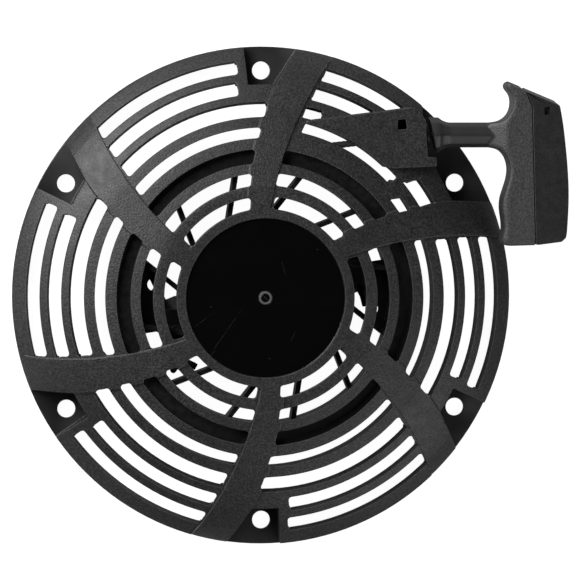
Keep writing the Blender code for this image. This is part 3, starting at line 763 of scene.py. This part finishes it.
def cord(name, path, radius=ROPE_R, step=0.7, around=16, closed=False, fray=0.0):
    """Braided cord along a path: a swept tube whose skin rises where its strands cross over."""
    points = spaced(path, step)
    if closed:
        points.pop()
    count = len(points)
    cage = bmesh.new()
    rows = []
    side = None
    for i, point in enumerate(points):
        before = points[i - 1] if i or closed else point
        after = points[(i + 1) % count] if i + 1 < count or closed else point
        along = (after - before).normalized()
        if side is None:
            side = along.orthogonal().normalized()
        side = (side - along * side.dot(along)).normalized()
        up = along.cross(side)
        row = []
        for k in range(around):
            phi = 2 * math.pi * k / around
            twist = 2 * math.pi * i * step / BRAID_LAY
            weave = math.cos(BRAID_STRANDS * phi / 2 + twist) * math.cos(BRAID_STRANDS * phi / 2 - twist)
            r = radius + BRAID_RELIEF * (abs(weave) - 1.0)
            if fray and i >= count - 4:
                r += fray * noise.noise(Vector((phi * 2.0, i * 1.3, 0.0)))
            row.append(cage.verts.new((point + (side * math.cos(phi) + up * math.sin(phi)) * r) * MM))
        rows.append(row)
    pairs = list(zip(rows, rows[1:]))
    if closed:
        shift = min(range(around), key=lambda s: (rows[0][s].co - rows[-1][0].co).length)
        pairs.append((rows[-1], rows[0][shift:] + rows[0][:shift]))
    for a, b in pairs:
        for k in range(around):
            n = (k + 1) % around
            cage.faces.new((a[k], a[n], b[n], b[k]))
    if not closed:
        for row, flip in ((rows[0], True), (rows[-1], False)):
            cage.faces.new(row[::-1] if flip else row)
    bmesh.ops.recalc_face_normals(cage, faces=cage.faces)
    mesh = bpy.data.meshes.new(name)
    cage.to_mesh(mesh)
    cage.free()
    return smooth(new_object(name, mesh), 60.0)


def knot_path(size, centre, turn, points=96):
    """Closed overhand knot, its flat side across the rope."""
    loop = []
    for i in range(points + 1):
        t = 2 * math.pi * i / points
        across = math.sin(t) + 2 * math.sin(2 * t)
        up = math.cos(t) - 2 * math.cos(2 * t)
        local = Vector((across, up, -1.3 * math.sin(3 * t))) * size
        loop.append(Vector(centre) + turn.to_3x3() @ local)
    return loop


def rope_coil():
    total = wound_degrees() - 6.0
    count = round(total / 4.0)
    winding = [wrap_point(total * i / count) for i in range(count + 1)]
    z = anchor_height()
    leg = flowing([polar(66.3, ANCHOR_ANGLE - 3.2, z), polar(64.2, ANCHOR_ANGLE - 1.2, z),
                   polar(61.0, ANCHOR_ANGLE - 0.6, z), polar(58.0, ANCHOR_ANGLE, z),
                   polar(53.0, ANCHOR_ANGLE + 2.0, z), polar(50.0, ANCHOR_ANGLE + 7.0, z),
                   polar(48.5, ANCHOR_ANGLE + 12.0, z)])
    coil = cord("wound_rope", winding + leg, step=0.9, fray=0.5)
    knot = knot_path(1.8, polar(55.5, ANCHOR_ANGLE + 1.5, z), along_x(ANCHOR_ANGLE))
    tied = cord("reel_knot", knot, KNOT_ROPE_R, 0.5, closed=True)
    for piece in (coil, tied):
        hand_over(piece, "rope_coil", "reel")
    return [coil, tied]


def rope_line():
    """Rope from the reel to the handle, built at rest; on the real starter the stretch past the outlet
    lengthens as the handle is pulled, which this piece does not do.
    """
    path = [rope_point(16.0 + 3.0 * i) for i in range(22)]
    path += [(82.0, AXIS_Y + 0.05, AXIS_Z), (COLLAR_X, AXIS_Y, AXIS_Z)]
    line = cord("pull_rope", path, step=0.35, around=20)
    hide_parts("rope_run")
    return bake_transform(line)


def rope_in_handle():
    inner = cord("handle_rope", [(COLLAR_X, AXIS_Y, AXIS_Z), (130.0, AXIS_Y, AXIS_Z)])
    knot = knot_path(1.7, (130.4, AXIS_Y, AXIS_Z), along_x())
    tied = cord("handle_knot", knot, KNOT_ROPE_R, 0.5, closed=True)
    for piece in (inner, tied):
        hand_over(piece, "rope_handle_end", "handle")
    return [inner, tied]


def rope_eyelet():
    bore = ROPE_R + 0.6
    profile = ((bore + 0.7, 1.9), (5.2, 1.9), (5.6, 1.7), (5.6, 1.1), (4.2, 1.1), (4.2, -4.0), (bore, -4.0),
               (bore, 1.0), (bore + 0.2, 1.6))
    eyelet = moved(turned("outlet_eyelet", profile, 64), rope_point(OUTLET_X + 1.4), along_x(ROPE_SLOPE))
    smooth(eyelet)
    return hand_over(eyelet, "rope_eyelet", "housing")


# ---- handle


GRIP_SPLIT = [(128.8, 105.4), (133.2, 94.7), (135.0, 25.7)]
CAP_EDGE = 0.6
# Lean of the handle's top end face: sideways travel per height.
END_SLOPE = 0.11
# Stretch of the handle where the grip narrows to the stem, and the share of its height that it loses.
TAPER = (111.5, 122.5)
TAPER_LOSS = 0.46


def end_chamfer():
    """Cutter that slants the handle's top end, so that its face leans back towards the top."""
    start, end = Vector((110.0, 113.2)), Vector((165.0, 90.3))
    along = (end - start).normalized()
    away = Vector((-along.y, along.x))
    outline = [tuple(start), tuple(end), tuple(end + away * 30.0), tuple(start + away * 30.0)]
    cutter = plate("end_cutter", [outline], GRIP_LOW.z - 5.0, GRIP_HIGH.z + 5.0)
    for vertex in cutter.data.vertices:
        rise = vertex.co.z - GRIP_LOW.z * MM
        vertex.co.xy -= away * END_SLOPE * rise
    return cutter


def taper(body):
    """Bring the grip's full height down to the stem's, in an easy curve."""
    for vertex in body.data.vertices:
        share = min(1.0, max(0.0, (TAPER[1] - vertex.co.x / MM) / (TAPER[1] - TAPER[0])))
        ease = share * share * (3.0 - 2.0 * share)
        vertex.co.z = AXIS_Z * MM + (vertex.co.z - AXIS_Z * MM) * (1.0 - TAPER_LOSS * ease)


def grip_outline():
    """Plan of the grip, with its finger hook above the stem and the palm's waves below it."""
    finger = [
        (124.4, 108.0), (121.2, 107.0), (120.2, 104.6), (123.2, 100.8), (123.9, 96.5), (122.9, 92.2),
        (120.0, 88.9), (116.0, 87.3), (112.0, 87.1),
    ]
    palm = [
        (112.0, 74.3), (115.0, 74.1), (118.2, 72.9), (121.0, 69.6), (122.4, 64.8), (122.0, 59.4),
        (120.3, 54.0), (118.7, 49.0), (118.4, 44.0), (119.2, 38.6), (119.5, 33.6), (118.4, 29.6),
        (118.6, 26.6), (121.4, 25.3),
    ]
    beyond = [(142.0, 25.9), (142.0, 100.3)]
    return flowing(finger) + flowing(palm) + beyond


def collar_face():
    """Slanted front of the collar, which faces the outlet."""
    above, below = AXIS_Y + 12.0, AXIS_Y - 12.0
    outline = [(70.0, above), (COLLAR_X - 1.6, above), (COLLAR_X + 3.5, below), (70.0, below)]
    return plate("collar_face", [outline], 0.0, 50.0)


def grip():
    body = plate("grip_body", [grip_outline()], GRIP_LOW.z, GRIP_HIGH.z)
    body = melted(body, 0.6, 34)
    taper(body)
    reach = GRIP_X + 12.0 - COLLAR_X
    profile = [(0.0, reach), (STEM_R, reach), (STEM_R, 9.5), (STEM_R + 0.3, 8.0), (COLLAR_R - 1.4, 5.6),
               (COLLAR_R - 0.2, 4.2), (COLLAR_R, 3.2), (COLLAR_R, -1.5), (0.0, -1.5)]
    stem = turned("stem", profile, 8, closed=False)
    join(body, moved(stem, (COLLAR_X, AXIS_Y, AXIS_Z), along_x()))
    body = melted(body, 0.5, 12)

    cut(body, collar_face())
    cap_side = GRIP_SPLIT + [(170.0, 20.0), (170.0, 110.0), (128.0, 110.0)]
    cut(body, plate("cap_side", [cap_side], 0.0, 50.0))
    cut(body, end_chamfer())
    cut(body, moved(disc("rope_bore", ROPE_R + 0.4, -2.0, 44.0), (COLLAR_X, AXIS_Y, AXIS_Z), along_x()))
    cut(body, moved(disc("knot_pocket", 7.0, 0.0, 14.0), (124.6, AXIS_Y, AXIS_Z), along_x()))
    smooth(body, 35.0)
    return hand_over(body, "grip", "handle")


def grip_cap():
    seam = [(x + 0.3, y) for x, y in GRIP_SPLIT]
    back = [(147.0, 97.8), (149.2, 85.0), (151.2, 66.0), (CAP_HIGH.x, 50.0), (151.2, 34.0), (150.6, 29.4)]
    outline = rounded(seam[::-1] + flowing(back) + [(148.4, 27.4)], 1.6)
    cap = plate("cap_body", [outline], CAP_LOW.z, CAP_HIGH.z)
    dimple = [(139.6, 90.8), (142.4, 91.0), (142.2, 94.8), (139.4, 94.6)]
    pocket = moved(disc("cap_pocket", 7.0, -3.0, 4.0), (134.6, AXIS_Y, AXIS_Z), along_x())
    cut(cap, end_chamfer(), pocket)
    cap = soften(clean(cap, 0.2), CAP_EDGE, 3)
    cut(cap, plate("recess", [dimple], GRIP_HIGH.z - 2.0, 50.0))
    flat_faced(cap)
    return hand_over(cap, "grip_cap", "handle")


# ---- materials


class Graph:
    """A material's nodes, added by kind with their inputs."""

    def __init__(self, name):
        self.material = bpy.data.materials.new(name)
        self.material.use_nodes = True
        self.tree = self.material.node_tree
        self.shader = self.tree.nodes["Principled BSDF"]
        self.coords = self.add("ShaderNodeTexCoord").outputs["Object"]

    def add(self, kind, inputs=None, **settings):
        node = self.tree.nodes.new(kind)
        for key, value in settings.items():
            setattr(node, key, value)
        for key, value in (inputs or {}).items():
            self.put(node, key, value)
        return node

    def put(self, node, key, value):
        if isinstance(value, bpy.types.NodeSocket):
            self.tree.links.new(value, node.inputs[key])
        else:
            node.inputs[key].default_value = value

    def noise(self, per_mm, detail=2.0, coords=None, roughness=0.5):
        inputs = {"Vector": coords or self.coords, "Scale": per_mm / MM}
        inputs.update({"Detail": detail, "Roughness": roughness})
        return self.add("ShaderNodeTexNoise", inputs).outputs["Fac"]

    def math(self, operation, a, b=0.0):
        return self.add("ShaderNodeMath", {0: a, 1: b}, operation=operation).outputs[0]

    def remap(self, value, low, high, to_low=0.0, to_high=1.0):
        inputs = {"Value": value, "From Min": low, "From Max": high, "To Min": to_low, "To Max": to_high}
        return self.add("ShaderNodeMapRange", inputs).outputs["Result"]

    def mix(self, share, *colours):
        a, b = (c if isinstance(c, bpy.types.NodeSocket) else (*c, 1.0) for c in colours)
        return self.add("ShaderNodeMix", {"Factor": share, 6: a, 7: b}, data_type="RGBA").outputs[2]

    def blend_values(self, share, a, b):
        return self.add("ShaderNodeMix", {"Factor": share, 2: a, 3: b}, data_type="FLOAT").outputs[0]

    def edges(self, reach_mm):
        """1 where the surface turns within a reach, and 0 on open faces."""
        rounded_normal = self.add("ShaderNodeBevel", {"Radius": reach_mm * MM}, samples=4).outputs["Normal"]
        true_normal = self.add("ShaderNodeNewGeometry").outputs["Normal"]
        turn = self.add("ShaderNodeVectorMath", {0: rounded_normal, 1: true_normal}, operation="DOT_PRODUCT")
        return self.remap(turn.outputs["Value"], 0.97, 0.80)

    def bump(self, height, depth_mm, strength=1.0, normal=None):
        inputs = {"Height": height, "Distance": depth_mm * MM, "Strength": strength}
        if normal is not None:
            inputs["Normal"] = normal
        return self.add("ShaderNodeBump", inputs).outputs["Normal"]

    def finish(self, colour, roughness, normal, metallic=0.0):
        self.put(self.shader, "Base Color", colour)
        self.put(self.shader, "Roughness", roughness)
        self.put(self.shader, "Normal", normal)
        self.put(self.shader, "Metallic", metallic)
        return self.material


def moulded(name, dark, light, roughness, grain_mm, depth_mm):
    """Moulded plastic: cloudy colour, spark-eroded grain, and roughness that varies a little."""
    graph = Graph(name)
    clouds = graph.noise(0.05, 3.0)
    grain = graph.noise(1.0 / grain_mm, 2.0)
    fleck = graph.remap(grain, 0.35, 0.7)
    colour = graph.mix(graph.math("MULTIPLY", clouds, fleck), dark, light)
    rough = graph.remap(graph.noise(0.3, 3.0), 0.3, 0.7, roughness - 0.06, roughness + 0.06)
    return graph.finish(colour, rough, graph.bump(grain, depth_mm))


def pebbled(name):
    """Handle plastic with a leather-like grain that fades out on the stem."""
    graph = Graph(name)
    place = graph.add("ShaderNodeSeparateXYZ", {"Vector": graph.coords})
    held = graph.remap(place.outputs["X"], 113.0 * MM, 125.0 * MM)
    cell_inputs = {"Vector": graph.coords, "Scale": 1.15 / MM}
    cells = graph.add("ShaderNodeTexVoronoi", cell_inputs, feature="SMOOTH_F1")
    pebbles = graph.math("SUBTRACT", 1.0, cells.outputs["Distance"])
    fine = graph.noise(1.3, 2.0)
    relief = graph.math("ADD", graph.math("MULTIPLY", pebbles, held), graph.math("MULTIPLY", fine, 0.25))
    shade = graph.remap(graph.math("MULTIPLY", pebbles, fine), 0.12, 0.48)
    grained = graph.mix(shade, (0.026, 0.026, 0.0265), (0.068, 0.067, 0.067))
    plain = graph.mix(graph.noise(0.08, 2.0), (0.013, 0.013, 0.0135), (0.025, 0.025, 0.025))
    colour = graph.mix(held, plain, grained)
    rough = graph.blend_values(held, 0.42, 0.52)
    return graph.finish(colour, rough, graph.bump(relief, 0.22))


# Fine scratches on the centre disc: middle x and y, direction and half length.
SCRATCHES = (
    (-20.0, -17.0, 56.0, 15.0), (-31.0, -11.0, 37.0, 6.0), (-26.0, -27.0, 40.0, 3.5),
    (14.0, -19.0, 62.0, 3.0), (9.0, 15.0, 105.0, 4.0),
)


def disc_area(graph, radius, height):
    """1 on the polished centre disc, except on the gate mark's lip."""
    inside = graph.remap(radius, (CAP_R + 0.2) * MM, (CAP_R - 0.1) * MM)
    at_top = graph.remap(height, 33.5 * MM, 33.6 * MM)
    past_lip = graph.remap(radius, 3.3 * MM, 3.5 * MM)
    within_lip = graph.remap(radius, 2.2 * MM, 2.0 * MM)
    area = graph.math("MULTIPLY", inside, at_top)
    return graph.math("MULTIPLY", area, graph.math("MAXIMUM", past_lip, within_lip))


def floor_area(graph, radius, height):
    """1 on the bolt pockets' floors."""
    outside = graph.remap(radius, 104.5 * MM, 105.0 * MM)
    return graph.math("MULTIPLY", outside, graph.remap(height, (FLOOR + 0.5) * MM, (FLOOR + 0.1) * MM))


def scratches(graph):
    """Thin, broken lines that waver a little."""
    total = 0.0
    for x, y, angle, length in SCRATCHES:
        placing = {"Vector": graph.coords, "Location": metres((x, y, 0.0))}
        placing["Rotation"] = (0.0, 0.0, math.radians(angle))
        turn = graph.add("ShaderNodeMapping", placing, vector_type="TEXTURE")
        along = graph.add("ShaderNodeSeparateXYZ", {"Vector": turn.outputs["Vector"]})
        wobble = graph.math("MULTIPLY", graph.math("SUBTRACT", graph.noise(0.05, 1.0), 0.5), 2.0 * MM)
        across = graph.math("ABSOLUTE", graph.math("ADD", along.outputs["Y"], wobble))
        reach = graph.math("ABSOLUTE", along.outputs["X"])
        thin = graph.remap(across, 0.16 * MM, 0.03 * MM)
        line = graph.math("MULTIPLY", thin, graph.remap(reach, length * MM, length * 0.6 * MM))
        total = graph.math("MAXIMUM", total, line)
    return graph.math("MULTIPLY", total, graph.remap(graph.noise(0.4, 2.0), 0.35, 0.6))


def housing_plastic():
    """Grained black moulding, with a polished centre disc, painted highlights on the rounded edges, and
    smooth, darker pocket floors whose colour carries painted sheen in soft patches.
    """
    graph = Graph("housing_plastic")
    height = graph.add("ShaderNodeSeparateXYZ", {"Vector": graph.coords}).outputs["Z"]
    flat = graph.add("ShaderNodeVectorMath", {0: graph.coords, 1: (1.0, 1.0, 0.0)}, operation="MULTIPLY")
    radius = graph.add("ShaderNodeVectorMath", {0: flat.outputs[0]}, operation="LENGTH").outputs["Value"]
    disc_mask = disc_area(graph, radius, height)
    floor_mask = floor_area(graph, radius, height)

    clouds = graph.noise(0.03, 4.0)
    grain = graph.noise(1.1, 2.5)
    fleck = graph.remap(grain, 0.38, 0.72)
    mottle = graph.math("MULTIPLY", fleck, graph.remap(clouds, 0.3, 0.7, 0.45, 1.0))
    colour = graph.mix(mottle, (0.006, 0.0055, 0.006), (0.054, 0.051, 0.052))
    speck = graph.add("ShaderNodeTexVoronoi", {"Vector": graph.coords, "Scale": 0.07 / MM})
    dust = graph.remap(speck.outputs["Distance"], 0.022, 0.012)
    colour = graph.mix(graph.math("MULTIPLY", dust, 0.35), colour, (0.16, 0.155, 0.15))
    # Painted highlight: the rounded edges' colour is mixed towards light grey, standing in for the light that
    # edges catch.
    painted_edge_highlight = graph.math("MULTIPLY", graph.edges(0.5), 0.75)
    colour = graph.mix(painted_edge_highlight, colour, (0.17, 0.162, 0.165))
    # Painted sheen: the pocket floors' colour swings lighter and darker in broad soft patches, standing in
    # for a glossy reflection.
    patches = graph.remap(graph.noise(0.045, 1.0), 0.3, 0.7)
    floor_painted_sheen = graph.mix(patches, (0.012, 0.012, 0.0123), (0.040, 0.040, 0.041))
    colour = graph.mix(floor_mask, colour, floor_painted_sheen)
    polished = graph.mix(graph.math("MULTIPLY", dust, 0.4), (0.0020, 0.0020, 0.0021), (0.10, 0.10, 0.10))
    polished = graph.mix(graph.math("MULTIPLY", scratches(graph), 0.7), polished, (0.035, 0.035, 0.035))
    colour = graph.mix(disc_mask, colour, polished)

    rough = graph.remap(graph.noise(0.2, 3.0), 0.3, 0.7, 0.42, 0.54)
    rough = graph.blend_values(floor_mask, rough, 0.33)
    gloss = graph.remap(graph.noise(0.08, 2.0), 0.3, 0.7, 0.10, 0.17)
    rough = graph.blend_values(disc_mask, rough, gloss)
    smooth_mask = graph.math("MAXIMUM", disc_mask, floor_mask)
    grained = graph.math("SUBTRACT", 1.0, graph.math("MULTIPLY", smooth_mask, 0.9))
    waves = graph.bump(graph.math("MULTIPLY", graph.noise(0.035, 1.0), floor_mask), 3.0)
    relief = graph.math("MULTIPLY", grain, grained)
    return graph.finish(colour, rough, graph.bump(relief, 0.2, normal=waves))


def braided(name):
    """Black braided rope: crossing strands from the place along X and round the rope, with lighter fibres."""
    graph = Graph(name)
    fibres = graph.noise(2.6, 3.0)
    coarse = graph.noise(0.9, 1.0)
    colour = graph.mix(graph.remap(fibres, 0.45, 0.75), (0.006, 0.006, 0.007), (0.040, 0.040, 0.042))
    wave = graph.add("ShaderNodeTexWave", {"Vector": graph.coords, "Scale": 0.11 / MM, "Distortion": 0.6},
                     wave_type="BANDS", bands_direction="DIAGONAL")
    strands = graph.math("MULTIPLY", wave.outputs["Fac"], 0.7)
    height = graph.math("ADD", strands, graph.math("MULTIPLY", coarse, 0.6))
    normal = graph.bump(fibres, 0.08, 0.8, graph.bump(height, 0.22))
    material = graph.finish(colour, 0.82, normal)
    graph.put(graph.shader, "Sheen Weight", 0.25)
    graph.put(graph.shader, "Sheen Roughness", 0.4)
    return material


# Share of a metal's brightness that its duller patches keep.
TARNISH = 0.65


def metal(name, colour, roughness, brushed=False, metallic=1.0):
    """Plated or oiled metal: fine scratches, patches of duller finish."""
    graph = Graph(name)
    scale = (1.0, 1.0, 14.0) if brushed else (1.0, 1.0, 1.0)
    stretched = graph.add("ShaderNodeMapping", {"Vector": graph.coords, "Scale": scale})
    streaks = graph.noise(1.6, 4.0, stretched.outputs["Vector"], 0.7)
    patches = graph.noise(0.12, 3.0)
    dull = tuple(c * TARNISH for c in colour)
    shade = graph.mix(graph.remap(patches, 0.35, 0.7), colour, dull)
    rough = graph.remap(graph.math("ADD", streaks, patches), 0.7, 1.3, roughness - 0.08, roughness + 0.12)
    return graph.finish(shade, rough, graph.bump(streaks, 0.02), metallic)


def paint(obj, material):
    obj.data.materials.clear()
    obj.data.materials.append(material)


# ---- scene


VIEW_WIDTH = 293.5
SENSOR = 36.0
DISTANCE = 2500.0
AIM = (15.55, 6.5, 4.0)
TILT = 5.0
LEAN = 154.0


def camera():
    data = bpy.data.cameras.new("camera")
    data.sensor_width = SENSOR
    data.lens = SENSOR * DISTANCE / VIEW_WIDTH
    data.clip_start = 0.01
    eye = bpy.data.objects.new("camera", data)
    bpy.context.scene.collection.objects.link(eye)
    tilt, lean = math.radians(TILT), math.radians(LEAN)
    back = Vector((math.sin(tilt) * math.cos(lean), math.sin(tilt) * math.sin(lean), math.cos(tilt)))
    right = Vector((0.0, 1.0, 0.0)).cross(back).normalized()
    up = back.cross(right)
    turn = Matrix((right, up, back)).transposed().to_4x4()
    eye.matrix_world = Matrix.Translation(metres(AIM) + back * DISTANCE * MM) @ turn
    bpy.context.scene.camera = eye


def softbox(name, position, target, size, power):
    data = bpy.data.lights.new(name, "AREA")
    data.size = size
    data.energy = power
    lamp = bpy.data.objects.new(name, data)
    bpy.context.scene.collection.objects.link(lamp)
    lamp.location = position
    lamp.rotation_euler = (Vector(target) - Vector(position)).to_track_quat("-Z", "Y").to_euler()


# The way that the studio's bright wall lies.
BRIGHT_SIDE = (-0.79, 0.61, 0.0)


def world():
    """Light from the upper left and dark overhead, so that flat polished faces stay black."""
    sky = bpy.data.worlds.new("studio")
    bpy.context.scene.world = sky
    sky.use_nodes = True
    tree = sky.node_tree
    direction = tree.nodes.new("ShaderNodeTexCoord").outputs["Generated"]
    split = tree.nodes.new("ShaderNodeSeparateXYZ")
    tree.links.new(direction, split.inputs[0])
    toward = tree.nodes.new("ShaderNodeVectorMath")
    toward.operation = "DOT_PRODUCT"
    toward.inputs[1].default_value = BRIGHT_SIDE
    tree.links.new(direction, toward.inputs[0])
    ranges = ((split.outputs["Z"], 0.05, 0.75, 1.0, 0.02), (toward.outputs["Value"], -0.6, 0.6, 0.25, 1.1))
    product = tree.nodes.new("ShaderNodeMath")
    product.operation = "MULTIPLY"
    for i, (value, *limits) in enumerate(ranges):
        ramp = tree.nodes.new("ShaderNodeMapRange")
        for key, limit in zip(("From Min", "From Max", "To Min", "To Max"), limits):
            ramp.inputs[key].default_value = limit
        tree.links.new(value, ramp.inputs["Value"])
        tree.links.new(ramp.outputs["Result"], product.inputs[i])
    tree.links.new(product.outputs[0], tree.nodes["Background"].inputs["Strength"])
    tree.nodes["Background"].inputs["Color"].default_value = (1.0, 1.0, 1.0, 1.0)


FLOOR_HALF = 20.0


def floor():
    """Pale ground that the camera sees as white, and that throws little light back up."""
    data = bpy.data.meshes.new("floor")
    corners = [(x * FLOOR_HALF, y * FLOOR_HALF, 0.0) for x, y in ((-1, -1), (1, -1), (1, 1), (-1, 1))]
    data.from_pydata(corners, [], [(0, 1, 2, 3)])
    plane = new_object("floor", data)
    plane.location.z = -1.5 * MM
    material = bpy.data.materials.new("floor")
    material.use_nodes = True
    shader = material.node_tree.nodes["Principled BSDF"]
    shader.inputs["Base Color"].default_value = (0.3, 0.3, 0.3, 1.0)
    shader.inputs["Roughness"].default_value = 0.9
    shader.inputs["Emission Color"].default_value = (1.0, 1.0, 1.0, 1.0)
    seen = material.node_tree.nodes.new("ShaderNodeMapRange")
    seen.inputs["To Min"].default_value = 0.12
    seen.inputs["To Max"].default_value = 0.97
    rays = material.node_tree.nodes.new("ShaderNodeLightPath")
    material.node_tree.links.new(rays.outputs["Is Camera Ray"], seen.inputs["Value"])
    material.node_tree.links.new(seen.outputs["Result"], shader.inputs["Emission Strength"])
    data.materials.append(material)


def build():
    plastic = housing_plastic()
    # The reel's colour is far blacker than the housing's: partly its own black plastic, partly painted shade
    # for the housing above it.
    reel_plastic = moulded("reel_plastic", (0.0015, 0.0015, 0.0016), (0.005, 0.005, 0.0052), 0.38, 0.8, 0.03)
    grip_plastic = pebbled("grip_plastic")
    cap_plastic = moulded("cap_plastic", (0.013, 0.013, 0.0135), (0.031, 0.031, 0.032), 0.40, 0.7, 0.03)
    rope_fibre = braided("rope_fibre")
    zinc = metal("steel", (0.52, 0.51, 0.49), 0.34)
    blackened = metal("black_oxide", (0.030, 0.030, 0.032), 0.42, metallic=0.6)
    spring_steel = metal("spring_steel", (0.22, 0.225, 0.24), 0.33, brushed=True)
    bronze = metal("bushing_bronze", (0.50, 0.33, 0.15), 0.42)

    paint(housing(), plastic)
    paint(reel(), reel_plastic)
    for piece in [*rope_coil(), rope_line(), *rope_in_handle()]:
        paint(piece, rope_fibre)
    paint(rope_eyelet(), blackened)
    paint(grip(), grip_plastic)
    paint(grip_cap(), cap_plastic)
    kept = {
        "pawl_a": blackened, "pawl_b": blackened, "pawl_pin_a": zinc, "pawl_pin_b": zinc, "pawl_guide": zinc,
        "pawl_spring_a": spring_steel, "pawl_spring_b": spring_steel, "friction_spring": spring_steel,
        "rewind_spring": spring_steel, "spring_case": zinc, "reel_bushing": bronze, "thrust_washer": zinc,
        "center_screw": zinc, "grip_washer": zinc,
    }
    for name, material in kept.items():
        paint(frame["nodes"][name], material)

    floor()
    world()
    softbox("key", (-0.50, 0.42, 0.55), (0.0, 0.0, 0.02), 0.55, 8.0)
    softbox("fill", (0.45, -0.45, 0.50), (0.0, 0.0, 0.02), 0.6, 2.2)
    camera()
    bpy.context.scene.view_settings.view_transform = "Standard"


build()
